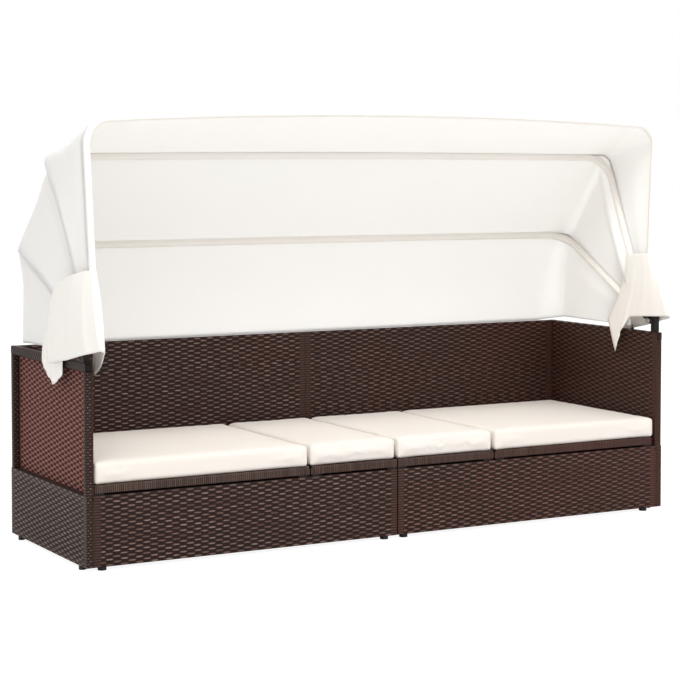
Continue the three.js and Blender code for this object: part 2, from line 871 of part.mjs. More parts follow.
addPanel('cover_front_panel', (offset) => {
  const first = bowRow(frontBow, offset, 0);
  const last = bowRow(middleBow, offset, coverSeam);
  return [
    bowRow(frontBow, -coverLip, offset),
    bowRow(frontBow, offset, offset),
    first,
    ...panelShares.map((share) => blendRows(first, last, share, topSag)),
    last,
  ];
});
addPanel('cover_middle_panel', (offset) => {
  const first = bowRow(middleBow, offset, -coverSeam);
  const last = bowRow(rearBow, offset, coverSeam);
  return [first, ...panelShares.map((share) => blendRows(first, last, share, topSag)), last];
});
addPanel('cover_rear_panel', (offset) => {
  const first = bowRow(rearBow, offset, -coverSeam);
  const last = hemRow(offset - bowRadius);
  return [first, ...panelShares.map((share) => blendRows(first, last, share, 0)), last];
});

// Flaps that hang from the cover's front edges over the corners of the arms
function addFlap(side, sign, pointed) {
  const topOut = spreadAt(frontBow, flapFrontTopRise) + coverOuter + flapSeam;
  const bottomOut = halfWidth + flapOverhang;
  const rowsAt = (offset) => {
    const rows = [];
    for (let down = 0; down <= flapSteps; down += 1) {
      const v = down / flapSteps;
      const row = [];
      for (let along = 0; along <= flapSteps; along += 1) {
        const u = along / flapSteps;
        const topY = front + THREE.MathUtils.lerp(flapTopFront, flapTopRear, u);
        const topZ = pivotHeight + THREE.MathUtils.lerp(flapFrontTopRise, flapRearTopRise, u);
        const hemY = THREE.MathUtils.lerp(pivotY - flapFrontReach, pivotY + flapRear, u);
        const point = pointed ? Math.exp(-(((u - flapPointShare) / flapPointWidthShare) ** 2)) : 0;
        const hemRiseAt = THREE.MathUtils.lerp(flapFrontHemRise, -flapRearHemDrop, u);
        const hemZ = pivotHeight + hemRiseAt - point * flapPointDrop;
        const y = THREE.MathUtils.lerp(topY, hemY, v);
        const z = THREE.MathUtils.lerp(topZ, hemZ, v);
        const fold = flapWave * v * Math.sin(u * flapWaveCount * Math.PI * 2);
        const curl = flapCurl * v * (1 - THREE.MathUtils.smoothstep(u, 0, flapCurlShare));
        const out = THREE.MathUtils.lerp(topOut, bottomOut, v) + fold + offset - curl;
        row.push([sign * out, y, z]);
      }
      rows.push(row);
    }
    return rows;
  };
  addMesh(`cover_${side}_flap`, sheet(rowsAt(0), rowsAt(coverThickness)), coverWhite);
}
addFlap('left', -1, true);
addFlap('right', 1, false);

// Ties: a button on each arm with a cord stem up to the hem
for (const [side, sign] of [['left', -1], ['right', 1]]) {
  const x = sign * (armInner + tieInset);
  const y = front + tieBack;
  const profile = [
    new THREE.Vector2(0, 0),
    new THREE.Vector2(tieButtonRadius, 0),
    new THREE.Vector2(tieButtonRadius, tieButtonHeight),
    new THREE.Vector2(tieStemRadius, tieButtonHeight + tieStemRadius),
    new THREE.Vector2(tieStemRadius, hemHeight - armTop - fit),
    new THREE.Vector2(0, hemHeight - armTop - fit),
  ];
  const geometry = new THREE.LatheGeometry(profile, roundSides);
  geometry.rotateX(Math.PI / 2);
  const mesh = addMesh(`${side}_cover_tie`, geometry, glideBlack);
  mesh.position.set(x, y, armTop + fit);
}

export default daybed;
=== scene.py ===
import json
import math

import bmesh
import bpy
import numpy as np
from bpy.props import FloatProperty, FloatVectorProperty, PointerProperty
from mathutils import Matrix, Vector


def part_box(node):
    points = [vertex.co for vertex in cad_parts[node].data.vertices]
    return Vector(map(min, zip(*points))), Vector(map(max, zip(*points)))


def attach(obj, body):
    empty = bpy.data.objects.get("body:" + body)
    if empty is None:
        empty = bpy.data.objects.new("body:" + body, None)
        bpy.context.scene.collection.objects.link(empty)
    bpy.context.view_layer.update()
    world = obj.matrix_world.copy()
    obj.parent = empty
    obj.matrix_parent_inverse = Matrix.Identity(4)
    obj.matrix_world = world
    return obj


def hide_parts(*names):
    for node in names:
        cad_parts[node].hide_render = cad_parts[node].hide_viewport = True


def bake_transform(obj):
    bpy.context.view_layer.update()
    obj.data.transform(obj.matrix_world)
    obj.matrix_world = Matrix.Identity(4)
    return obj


bl_info = {
    "name": "Outdoor daybed with canopy",
    "version": (1, 0, 0),
    "blender": (4, 5, 0),
    "location": "3D View > Sidebar > Daybed",
    "description": "Dresses the daybed's frame in wicker, cushions, a cover and hardware",
    "category": "Object",
}

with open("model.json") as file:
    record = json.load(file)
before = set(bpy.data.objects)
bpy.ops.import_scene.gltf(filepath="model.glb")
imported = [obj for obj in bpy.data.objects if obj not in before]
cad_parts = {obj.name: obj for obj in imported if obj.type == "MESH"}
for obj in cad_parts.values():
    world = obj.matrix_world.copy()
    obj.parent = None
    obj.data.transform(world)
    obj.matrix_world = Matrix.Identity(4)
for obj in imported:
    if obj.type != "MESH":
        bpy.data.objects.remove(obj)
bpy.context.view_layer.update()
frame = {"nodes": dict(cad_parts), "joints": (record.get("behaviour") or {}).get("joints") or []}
PIVOT = next(joint["pos_m"] for joint in frame["joints"] if joint["name"] == "rear_bow_pivot")
UP = np.array((0.0, 0.0, 1.0))
SIDES = ("left", "right")
WHITE = (1.0, 1.0, 1.0, 1.0)

# Camera, in pixels of a square picture
PICTURE, FOCAL_PIXELS, SHIFT_PIXELS = 680.0, 1934.0, -80.0
SENSOR = 36.0
CAMERA_PLACE, CAMERA_YAW, CAMERA_PITCH = (-2.974, -5.205, 1.130), 0.511, math.radians(2.87)
FLOOR_HALF = 14.0

# Frames and weave
TUBE, ARM_RAIL, BOX_TOP = 0.020, 0.025, 0.212
BAR_ROUND = 0.003
SKIN, OUTER_SKIN = 0.0027, 0.0022
OUTER_SKIN_HEIGHT, OUTER_SKIN_PROUD, OUTER_SKIN_LAP = 0.200, 0.0008, 0.0006
FLOAT_SAMPLES = 6
ROW_SAMPLES = 4
STRAND_BLUNTNESS = 0.6
MID_LIFT = 0.6
EDGE_BAND = 0.020
COARSE_STEP = 0.020
HIDDEN_BELOW = 0.205
ROWS_PER_METRE = 129.0

# Seat boards
HINGE_INSET = 0.006
DECK_PITCH, DECK_EDGE, DECK_RIB, DECK_SKIN = 0.0062, 0.004, 0.0011, 0.0024
DECK_FRONT = 0.03

# Cushions
CUSHION_INSET = 0.0004
CUSHION_MESH = {True: 0.0065, False: 0.006}
WIDE_CUSHION = 0.45
FILL_CLOTH = {
    "quality": 4, "mass": 0.25, "tension_stiffness": 12, "compression_stiffness": 12, "shear_stiffness": 6,
    "bending_stiffness": 0.8, "use_pressure": True,
}
FILL_FRAMES, FILL_REACH = 20, 0.0035
CUSHION_BEND, CUSHION_MIDDLE = 0.08, 0.27
CUSHION_ROOM = ((-0.0002, -0.0002), (0.002, 0.002), (0.0, 0.006))
CUSHION_DRAW = (0.001, 0.002)

# Cover
CLOTH_THICKNESS = 0.0012
SEAM_LAP, SEAM_STEP = 0.004, 0.0007
HEM_RADIUS, SLEEVE_RADIUS, SLEEVE_REACH, SLEEVE_TUCK = 0.0094, 0.0083, 0.0128, 0.0104
POCKET_START = 0.100
SPREAD_LOW, SPREAD_TOP, JOG_REACH = 0.962, 0.983, 0.090
TUBE_CORNER = 0.072
CLOTH_CORNER = {"front": 0.072, "middle": 0.024, "rear": 0.022}
EARS = {"front": 0.0, "middle": 0.012, "rear": 0.012}
EAR_REACH = 0.12
COVER_START = 0.097
COVER_OFFSET = 0.0096
LEG_STEPS, CORNER_STEPS, TOP_STEPS = 18, 12, 26
BOWS = {
    "front": {"lean": 0.0, "reach": 0.633, "crown": 0.024},
    "middle": {"lean": math.radians(27), "reach": 0.590, "crown": 0.006},
    "rear": {"lean": math.radians(62.5), "reach": 0.562, "crown": 0.004},
}
HEM_HEIGHT, HEM_BACK, HEM_CORNER, HEM_REACH = 0.597, 0.328, 0.066, 0.490
HEM_LEAN = math.radians(92.7)
ARM_TOP, HEM_REST = 0.581, 0.0016


# ---------------------------------------------------------------- shader maths

class Wire:
    """A node socket. Arithmetic on it adds the Math nodes."""

    def __init__(self, finish, socket):
        self.finish = finish
        self.socket = socket

    def math(self, operation, *values, clamp=False):
        settings = {"operation": operation, "use_clamp": clamp}
        return self.finish.add("ShaderNodeMath", settings, dict(enumerate(values)))

    def __add__(self, other):
        return self.math("ADD", self, other)

    __radd__ = __add__

    def __sub__(self, other):
        return self.math("SUBTRACT", self, other)

    def __rsub__(self, other):
        return self.math("SUBTRACT", other, self)

    def __mul__(self, other):
        return self.math("MULTIPLY", self, other)

    __rmul__ = __mul__

    def larger(self, other):
        return self.math("MAXIMUM", self, other)

    def clamped(self):
        return self.math("ADD", self, 0.0, clamp=True)


class Finish:
    """The node tree of a material or of the world."""

    def __init__(self, owner):
        self.owner = owner
        owner.use_nodes = True
        self.nodes = owner.node_tree.nodes
        self.links = owner.node_tree.links
        self.nodes.clear()

    def add(self, kind, settings=None, sockets=None, out=0):
        node = self.nodes.new(kind)
        for key, value in (settings or {}).items():
            setattr(node, key, value)
        for key, value in (sockets or {}).items():
            if isinstance(value, Wire):
                self.links.new(value.socket, node.inputs[key])
            else:
                node.inputs[key].default_value = value
        return Wire(self, node.outputs[out])

    def ray(self, kind):
        return self.add("ShaderNodeLightPath", out=f"Is {kind} Ray")

    def place(self, stretch=1.0):
        """Where a point is on the daybed, stretched by one number or by one for each axis"""
        where = self.add("ShaderNodeTexCoord", out="Object")
        stretch = (stretch,) * 3 if isinstance(stretch, float) else stretch
        return self.add("ShaderNodeVectorMath", {"operation": "MULTIPLY"}, {0: where, 1: stretch})

    def noise(self, stretch, detail=2.0, roughness=0.5):
        sockets = {"Vector": self.place(stretch), "Scale": 1.0, "Detail": detail, "Roughness": roughness}
        return self.add("ShaderNodeTexNoise", None, sockets)

    def mix(self, factor, first, second):
        settings = {"data_type": "RGBA", "blend_type": "MIX", "clamp_factor": True}
        sockets = {0: factor, 6: self.colour(first), 7: self.colour(second)}
        return self.add("ShaderNodeMix", settings, sockets, out=2)

    @staticmethod
    def colour(value):
        return value if isinstance(value, Wire) else (*tuple(value)[:3], 1.0)

    def bump(self, height, distance, strength=1.0):
        sockets = {"Height": height, "Distance": distance, "Strength": strength}
        return self.add("ShaderNodeBump", None, sockets)

    def finish(self, **sockets):
        named = {key.replace("_", " "): value for key, value in sockets.items()}
        self.output(self.add("ShaderNodeBsdfPrincipled", None, named))
        return self.owner

    def output(self, shader, kind="ShaderNodeOutputMaterial"):
        node = self.nodes.new(kind)
        self.links.new(shader.socket, node.inputs["Surface"])


FINISHES = {}


def finish_once(name, build):
    if name not in FINISHES:
        FINISHES[name] = build(Finish(bpy.data.materials.new(name)))
    return FINISHES[name]


def scaled(colour, share):
    return tuple(share * c for c in colour)


def strand_finish(name, colours, across, roughness, crest):
    """Glossy resin strand with a lengthwise grain, painted shade in the gaps and painted highlights on its
    crests.
    Painted shade makes it darker and redder towards the right, with less painted gap shade and fewer painted
    highlights there"""
    # gap is the colour of painted shade in the gaps; pale is the colour of a painted highlight on the crests
    top, gap, warm, pale = colours

    def build(finish):
        lift = finish.add("ShaderNodeAttribute", {"attribute_name": "lift"}, out="Fac")
        patches = finish.noise((2.6, 2.6, 4.0), detail=3.0)
        rows = finish.noise(tuple(ROWS_PER_METRE if axis == across else 6.0 for axis in range(3)), detail=1.0)
        grain = finish.noise(tuple(1500.0 if axis == across else 45.0 for axis in range(3)))
        across_part = finish.add("ShaderNodeSeparateXYZ", None, {"Vector": finish.place()}, out="X")
        # Painted shade towards the right: this mask rises from nothing at the left end to 0.9 at the right end,
        # and makes the strand darker and redder there
        right_shade = (across_part * 0.55 + 0.35).clamped()
        # Warm patches at random, plus the painted shade towards the right
        warmth = ((patches - 0.55) * 4.0 + right_shade).clamped()
        body = finish.mix(warmth * 0.75, top, warm)
        # Painted highlight on the crests of the strands, patchy along the rows and weaker towards the right
        wear_and_highlight = ((lift - 0.80) * 6.0).clamped() * ((rows - 0.32) * 3.0).clamped() * (1.0 - right_shade * 0.8)
        # Darker warm colour towards the right: painted shade
        body = finish.mix(right_shade * 0.55, body, scaled(warm, 0.44))
        body = finish.mix(wear_and_highlight * crest, body, pale)
        body = finish.mix((grain * 0.35).clamped(), body, gap)
        # Painted shade in the gaps: where the strand lies low its colour goes to the gap colour, less so towards
        # the right
        height = (lift * 1.55 + right_shade * 0.3 - 0.3).clamped()
        colour = finish.mix(height, gap, body)
        bump = finish.bump(grain, 0.00035, 0.8)
        rough = grain * 0.22 + (1.0 - lift) * 0.25 + (roughness - 0.1)
        return finish.finish(Base_Color=colour, Roughness=rough, Normal=bump, IOR=1.28)

    return finish_once(name, build)


def wicker_finish():
    settings = bpy.context.scene.daybed_wicker
    top = tuple(settings.strand)
    # The second colour is painted shade in the gaps; the crest colour is a painted highlight
    colours = (top, (0.015, 0.0065, 0.005), tuple(settings.warm_strand), tuple(settings.crest))
    return strand_finish("woven_strand", colours, 2, settings.gloss, 0.5)


def lit_side_finish():
    # A paler, greyer copy of the strand for the arms' outer lower panels: painted light on that side. Its gaps
    # take painted shade and its crests a painted highlight
    settings = bpy.context.scene.daybed_wicker
    top = scaled(settings.crest, 0.23)
    colours = (top, scaled(settings.strand, 0.25), top, scaled(settings.crest, 0.5))
    return strand_finish("woven_strand_lit_side", colours, 2, settings.gloss + 0.1, 0.8)


def reverse_finish():
    settings = bpy.context.scene.daybed_wicker
    back = tuple(settings.strand_back)
    # strand_back_gap is painted shade in the gaps between the backs; the palest copy, 1.3 of the back colour, is
    # a painted highlight on their crests
    colours = (back, tuple(settings.strand_back_gap), scaled(back, 1.15), scaled(back, 1.3))
    return strand_finish("woven_strand_reverse", colours, 2, 0.62, 0.6)


def wrap_finish(across):
    settings = bpy.context.scene.daybed_wicker
    share = 0.7 if across == 2 else 0.5
    top = scaled(settings.strand, share)
    # The darkest copy, 0.12 of top, is painted shade between the turns; the crest colour is a painted highlight
    colours = (top, scaled(top, 0.12), scaled(settings.warm_strand, share), scaled(settings.crest, 0.7))
    return strand_finish(f"wrapped_strand_{across}", colours, across, settings.gloss, 0.9)


def deck_finish():
    settings = bpy.context.scene.daybed_wicker
    top = scaled(settings.strand, 0.62)
    # A quarter of top is painted shade between the turns; the crest colour is a painted highlight
    colours = (top, scaled(top, 0.25), scaled(settings.warm_strand, 0.6), scaled(settings.crest, 0.4))
    return strand_finish("wound_deck", colours, 0, settings.gloss + 0.1, 0.5)


def coat_finish(name, speckle, scuffs, wear, colours, depth, roughness):
    """Powder coat with a fine speckle, a little paler and duller where it is scuffed"""

    def build(finish):
        fine = finish.noise(speckle[0], detail=speckle[1])
        wear_and_highlight = ((finish.noise(scuffs, detail=5.0, roughness=0.7) - wear[0]) * wear[1]).clamped()
        colour = finish.mix(wear_and_highlight * 0.5, *colours)
        bump = finish.bump(fine, depth, 0.6)
        return finish.finish(
            Base_Color=colour, Roughness=roughness[0] + roughness[1] * wear_and_highlight, Normal=bump, IOR=1.3,
        )

    return finish_once(name, build)


def tube_finish():
    colours = ((0.018, 0.013, 0.011), (0.036, 0.028, 0.024))
    return coat_finish("brown_powder_coat", (900.0, 3.0), 14.0, (0.56, 6.0), colours, 0.00015, (0.46, 0.18))


def steel_finish():
    colours = ((0.016, 0.012, 0.011), (0.038, 0.030, 0.027))
    return coat_finish("black_powder_coat", (1200.0, 2.0), 22.0, (0.58, 7.0), colours, 0.00012, (0.42, 0.2))


def zinc_finish():
    def build(finish):
        spangle = finish.noise(260.0, detail=3.0)
        dull = finish.noise(60.0, detail=4.0)
        colour = finish.mix(spangle, (0.42, 0.43, 0.44), (0.58, 0.58, 0.57))
        bump = finish.bump(spangle, 0.0001, 0.5)
        return finish.finish(Base_Color=colour, Roughness=0.26 + 0.28 * dull, Metallic=1.0, Normal=bump)

    return finish_once("zinc_plate", build)


def rubber_finish():
    def build(finish):
        fine = finish.noise(1400.0)
        dust = finish.noise((90.0, 90.0, 30.0), detail=4.0)
        colour = finish.mix(dust * 0.6, (0.011, 0.010, 0.010), (0.030, 0.027, 0.025))
        bump = finish.bump(fine, 0.0001, 0.5)
        return finish.finish(Base_Color=colour, Roughness=0.5 + 0.2 * dust, Normal=bump, IOR=1.48)

    return finish_once("black_moulded_plastic", build)


def cloth_finish(name, base, shade, thread, depth, sheen, thin=0.0):
    """Plain-woven cloth with fine threads, faint slubs and uneven tone; thin cloth lets light through"""

    def build(finish):
        tone = finish.noise((3.0, 3.0, 5.0), detail=4.0)
        slubs = finish.noise((40.0, 40.0, 900.0))
        cross = finish.noise((900.0, 900.0, 40.0))
        fine = finish.noise(thread)
        weave = slubs * 0.5 + cross * 0.5
        colour = finish.mix(((tone - 0.42) * 2.4).clamped() * 0.7, base, shade)
        colour = finish.mix(((weave - 0.5) * 3.0).clamped() * 0.18, colour, scaled(base, 0.86))
        bump = finish.bump(weave * 0.7 + fine * 0.3, depth, 0.5)
        return finish.finish(
            Base_Color=colour, Roughness=0.82 + 0.12 * fine, Normal=bump,
            Sheen_Weight=sheen, Sheen_Roughness=0.5, IOR=1.4,
            Subsurface_Weight=thin, Subsurface_Radius=(1.0, 0.97, 0.93), Subsurface_Scale=0.006,
        )

    return finish_once(name, build)


def cushion_finish():
    base = tuple(bpy.context.scene.daybed_soft.cushion)
    shade = (base[0] * 0.99, base[1] * 0.965, base[2] * 0.93)
    return cloth_finish("cushion_cloth", base, shade, 2600.0, 0.0004, 0.15)


def cover_finish(single):
    """Canvas: single cloth lets light through, doubled cloth doesn't"""
    base = tuple(bpy.context.scene.daybed_soft.cover)
    shade = (base[0] * 0.985, base[1] * 0.965, base[2] * 0.945)
    if single:
        return cloth_finish("cover_canvas", base, shade, 3200.0, 0.00025, 0.08, 1.0)
    base, shade = scaled(base, 1.06), scaled(shade, 1.06)
    return cloth_finish("cover_canvas_doubled", base, shade, 3200.0, 0.00025, 0.08)


# ---------------------------------------------------------------- mesh helpers

def grid_quads(rows, columns, first=0, closed=False):
    """Quads of a grid of points, the columns joined end to end where closed"""
    steps = columns if closed else columns - 1
    row = np.arange(rows - 1)[:, None]
    column = np.arange(steps)[None, :]
    after = (column + 1) % columns
    corners = (
        row * columns + column,
        row * columns + after,
        (row + 1) * columns + after,
        (row + 1) * columns + column,
    )
    return np.stack([c + first for c in np.broadcast_arrays(*corners)], axis=-1).reshape(-1, 4)


def facing_out(vertices, quads):
    """The quads of a closed shape, turned over if they face inward"""
    a, b, c, d = (vertices[quads[:, i]] for i in range(4))
    volume = np.einsum("ij,ij->", a, np.cross(b, c)) + np.einsum("ij,ij->", a, np.cross(c, d))
    return quads[:, ::-1] if volume < 0 else quads


def make_piece(name, vertices, quads, finishes, lift=None, face_finish=None):
    """A mesh object from closed quads, with smooth faces"""
    quads = facing_out(vertices, quads)
    mesh = bpy.data.meshes.new(name)
    mesh.vertices.add(len(vertices))
    mesh.vertices.foreach_set("co", vertices.astype(np.float32).ravel())
    mesh.loops.add(quads.size)
    mesh.loops.foreach_set("vertex_index", quads.astype(np.int32).ravel())
    mesh.polygons.add(len(quads))
    mesh.polygons.foreach_set("loop_start", np.arange(0, quads.size, 4, dtype=np.int32))
    if face_finish is not None:
        mesh.polygons.foreach_set("material_index", np.asarray(face_finish, np.int32))
    mesh.update(calc_edges=True)
    mesh.validate()
    mesh.shade_smooth()
    if lift is not None:
        attribute = mesh.attributes.new("lift", "FLOAT", "POINT")
        attribute.data.foreach_set("value", np.asarray(lift, np.float32).ravel())
    piece = bpy.data.objects.new(name, mesh)
    bpy.context.scene.collection.objects.link(piece)
    for finish in finishes:
        mesh.materials.append(finish)
    return piece


def slab_quads(rows, columns):
    """Quads of a closed sheet whose two faces are grids of the same shape, and which face each is on"""
    size = rows * columns
    front = grid_quads(rows, columns)
    back = grid_quads(rows, columns, size)[:, ::-1]
    ring = np.concatenate([
        np.arange(columns - 1),
        np.arange(rows - 1) * columns + columns - 1,
        size - 1 - np.arange(columns - 1),
        (rows - 1 - np.arange(rows - 1)) * columns,
    ])
    after = np.roll(ring, -1)
    rim = np.stack([ring, ring + size, after + size, after], axis=-1)
    sides = np.concatenate([np.zeros(len(front)), np.ones(len(back)), np.zeros(len(rim))])
    return np.concatenate([front, back, rim]), sides


def finish_cad(nodes, finish, bevel=0.0):
    """Gives CAD nodes their finish, and softens their edges where bevel is given"""
    for node in nodes:
        piece = frame["nodes"][node]
        piece.data.materials.clear()
        piece.data.materials.append(finish)
        if bevel:
            modifier = piece.modifiers.new("soft_edge", "BEVEL")
            modifier.width = bevel
            modifier.segments = 2
            modifier.limit_method = "ANGLE"
            modifier.angle_limit = math.radians(40)


# ---------------------------------------------------------------- wicker

def weave_rows(height, row, fine_from):
    """Levels of a woven panel, with each level's row, -1 where the weave is hidden, and its place in the row"""
    hidden = np.arange(0.0, fine_from - COARSE_STEP / 2, COARSE_STEP)
    count = max(1, round((height - fine_from) / row))
    step = (height - fine_from) / count
    index = np.arange(count * ROW_SAMPLES + 1)
    levels = np.concatenate([hidden, fine_from + index * step / ROW_SAMPLES])
    rows = np.concatenate([np.full(len(hidden), -1), index // ROW_SAMPLES])
    places = np.concatenate([np.full(len(hidden), 0.5), index % ROW_SAMPLES / ROW_SAMPLES])
    return levels, rows, places


def woven_piece(
    name, corner, along, out, size, node, thickness, seed, fine_from=0.0, plain_back=False, finish=None,
):
    """A woven panel: strands pass over and under the stakes in turn, and wrap plainly round its end posts"""
    wicker = bpy.context.scene.daybed_wicker
    random = np.random.default_rng(seed)
    length, height = size
    columns = max(8, round(length / (wicker.float_length / FLOAT_SAMPLES)))
    u = np.linspace(0.0, length, columns + 1)
    v, row, place = weave_rows(height, wicker.row_height, fine_from)
    strand = (np.sin(np.pi * place) ** STRAND_BLUNTNESS)[:, None]
    wander = random.normal(0.0, 0.05, row.max() + 2)[row][:, None]
    swing = np.cos(np.pi * (u[None, :] / wicker.float_length + row[:, None] + wander))
    over = np.clip(0.5 + 0.95 * swing, 0.0, 1.0)
    over = over * over * (3 - 2 * over)
    band = (u < EDGE_BAND) | (u > length - EDGE_BAND)
    over = np.where(band[None, :], 0.62, over)
    uneven = 1 + random.normal(0.0, 0.06, over.shape)
    hidden = (row < 0)[:, None]
    front = np.where(hidden, 0.5, strand * (0.1 + 0.9 * over) * uneven)
    back = np.where(hidden, 0.5, (0.45 + 0.55 * strand) * (1 - 0.9 * over ** 1.6) * uneven)
    corner, along, out = (np.asarray(x, float) for x in (corner, along, out))
    flat = corner + u[None, :, None] * along + v[:, None, None] * UP
    face = flat + ((front - MID_LIFT) * wicker.weave_depth)[..., None] * out
    relief = np.zeros_like(back) if plain_back else (back - MID_LIFT) * wicker.weave_depth
    rear = flat + (-thickness - relief)[..., None] * out
    quads, sides = slab_quads(len(v), len(u))
    lift = np.concatenate([front.ravel(), back.ravel()])
    vertices = np.concatenate([face.reshape(-1, 3), rear.reshape(-1, 3)])
    piece = make_piece(name, vertices, quads, [finish or wicker_finish(), reverse_finish()], lift, sides)
    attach(piece, "base")
    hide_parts(node)


def bar_ring(half_a, half_b):
    """Places round a bar's rounded section, and the share of the dotted wrap that each takes"""
    a, b = half_a - BAR_ROUND, half_b - BAR_ROUND
    centres = ((a, b), (-a, b), (-a, -b), (a, -b))

    def spot(corner, degrees):
        angle = math.radians(degrees)
        centre = centres[corner % 4]
        return centre[0] + BAR_ROUND * math.cos(angle), centre[1] + BAR_ROUND * math.sin(angle)

    places, dots = [], []
    for corner in range(4):
        for turn in (0, 45, 90):
            places.append(spot(corner, 90 * corner + turn))
            dots.append(0.5)
        first, second = places[-1], spot(corner + 1, 90 * corner + 90)
        for share, dot in ((0.28, 1.0), (0.5, 0.35), (0.72, 0.0)):
            places.append(tuple(f + (s - f) * share for f, s in zip(first, second)))
            dots.append(dot)
    return np.array(places), np.array(dots)


def wrapped_bar(low, high, axis):
    """Vertices, quads and lift of a square tube wound with strand along the given axis"""
    wicker = bpy.context.scene.daybed_wicker
    low, high = np.asarray(low, float), np.asarray(high, float)
    length = high[axis] - low[axis]
    turns = max(2, round(length / wicker.wrap_pitch))
    across = [i for i in range(3) if i != axis]
    half = (high - low)[across] / 2
    centre = ((low + high) / 2)[across]
    ring, dots = bar_ring(*half)
    outward = ring / np.linalg.norm(ring, axis=1)[:, None]
    levels = np.arange(turns * ROW_SAMPLES + 1)
    strand = np.sin(np.pi * (levels % ROW_SAMPLES) / ROW_SAMPLES) ** STRAND_BLUNTNESS
    odd = (levels // ROW_SAMPLES) % 2
    lift = strand[:, None] * (0.4 + 0.6 * np.where(odd[:, None] == 1, dots[None, :], 1 - dots[None, :]))
    vertices = np.zeros((len(levels), len(ring), 3))
    spots = ring[None] + outward[None] * ((lift - 0.55) * wicker.wrap_depth)[..., None]
    vertices[..., across[0]] = centre[0] + spots[..., 0]
    vertices[..., across[1]] = centre[1] + spots[..., 1]
    vertices[..., axis] = (low[axis] + levels * length / levels[-1])[:, None]
    quads = [grid_quads(len(levels), len(ring), closed=True)]
    ends = vertices[[0, -1]].mean(1)
    points = np.concatenate([vertices.reshape(-1, 3), ends])
    for end, level in enumerate((0, len(levels) - 1)):
        for i in range(0, len(ring), 2):
            trio = [level * len(ring) + (i + k) % len(ring) for k in range(3)]
            quads.append([[len(points) - 2 + end, *(trio if end else trio[::-1])]])
    return points, facing_out(points, np.concatenate(quads)), np.concatenate([lift.ravel(), [0.5, 0.5]])


def wrapped_frame(name, bars, node):
    """One piece of several wound bars, each given as its low and high corner and its axis"""
    vertices, quads, lifts = zip(*(wrapped_bar(*bar) for bar in bars))
    firsts = np.cumsum([0] + [len(v) for v in vertices])
    kinds = [np.full(len(q), axis) for q, (_, _, axis) in zip(quads, bars)]
    piece = make_piece(
        name, np.concatenate(vertices), np.concatenate([q + first for q, first in zip(quads, firsts)]),
        [wrap_finish(axis) for axis in range(3)], np.concatenate(lifts), np.concatenate(kinds),
    )
    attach(piece, "base")
    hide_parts(node)


# ---------------------------------------------------------------- cushions

def apply_modifiers(piece):
    """Bakes a piece's modifiers into its mesh"""
    graph = bpy.context.evaluated_depsgraph_get()
    mesh = bpy.data.meshes.new_from_object(piece.evaluated_get(graph))
    old = piece.data
    piece.modifiers.clear()
    piece.data = mesh
    bpy.data.meshes.remove(old)


def coordinates(mesh):
    points = np.empty(len(mesh.vertices) * 3, np.float32)
    mesh.vertices.foreach_get("co", points)
    return points.reshape(-1, 3).astype(float)


def set_coordinates(piece, points):
    piece.data.vertices.foreach_set("co", points.astype(np.float32).ravel())
    piece.data.update()


def swell(piece, pressure):
    """Blows a closed cloth up a little, so that it takes the creases of filled cloth"""
    rest = coordinates(piece.data)
    cloth = piece.modifiers.new("filling", "CLOTH")
    for key, value in FILL_CLOTH.items():
        setattr(cloth.settings, key, value)
    cloth.settings.uniform_pressure_force = pressure
    cloth.settings.effector_weights.gravity = 0.0
    cloth.point_cache.frame_start = 1
    cloth.point_cache.frame_end = FILL_FRAMES
    scene = bpy.context.scene
    for number in range(1, FILL_FRAMES + 1):
        scene.frame_set(number)
    moved = coordinates(piece.evaluated_get(bpy.context.evaluated_depsgraph_get()).data)
    piece.modifiers.clear()
    scene.frame_set(1)
    shift = moved - rest
    length = np.linalg.norm(shift, axis=1)
    shift *= (FILL_REACH * np.tanh(length / FILL_REACH) / np.maximum(length, 1e-9))[:, None]
    set_coordinates(piece, rest + shift)


def cushion_blank(name, low, high, edge, voxel):
    """A closed box of cloth with rounded edges and an even mesh"""
    shape = bmesh.new()
    bmesh.ops.create_cube(shape, size=1.0)
    size = Vector(high) - Vector(low)
    centre = (Vector(high) + Vector(low)) / 2
    placed = Matrix.Translation(centre) @ Matrix.Diagonal((*size, 1.0))
    bmesh.ops.transform(shape, matrix=placed, verts=shape.verts)
    bmesh.ops.bevel(shape, geom=list(shape.edges), offset=edge, segments=4, profile=0.5, affect="EDGES")
    mesh = bpy.data.meshes.new(name)
    shape.to_mesh(mesh)
    shape.free()
    piece = bpy.data.objects.new(name, mesh)
    bpy.context.scene.collection.objects.link(piece)
    remesh = piece.modifiers.new("even_mesh", "REMESH")
    remesh.mode = "VOXEL"
    remesh.voxel_size = voxel
    apply_modifiers(piece)
    return piece


# ---------------------------------------------------------------- cover

def spread_at(bow, r):
    share = np.clip((r - JOG_REACH) / (bow["reach"] - TUBE_CORNER - JOG_REACH), 0.0, 1.0)
    return SPREAD_LOW + (SPREAD_TOP - SPREAD_LOW) * share


def both_sides(x, *others):
    """Half lines from the right end to the middle, made whole: x changes sign on the left"""
    whole = [np.concatenate([-x, x[::-1][1:]])]
    return whole + [np.concatenate([line, line[::-1][1:]]) for line in others]


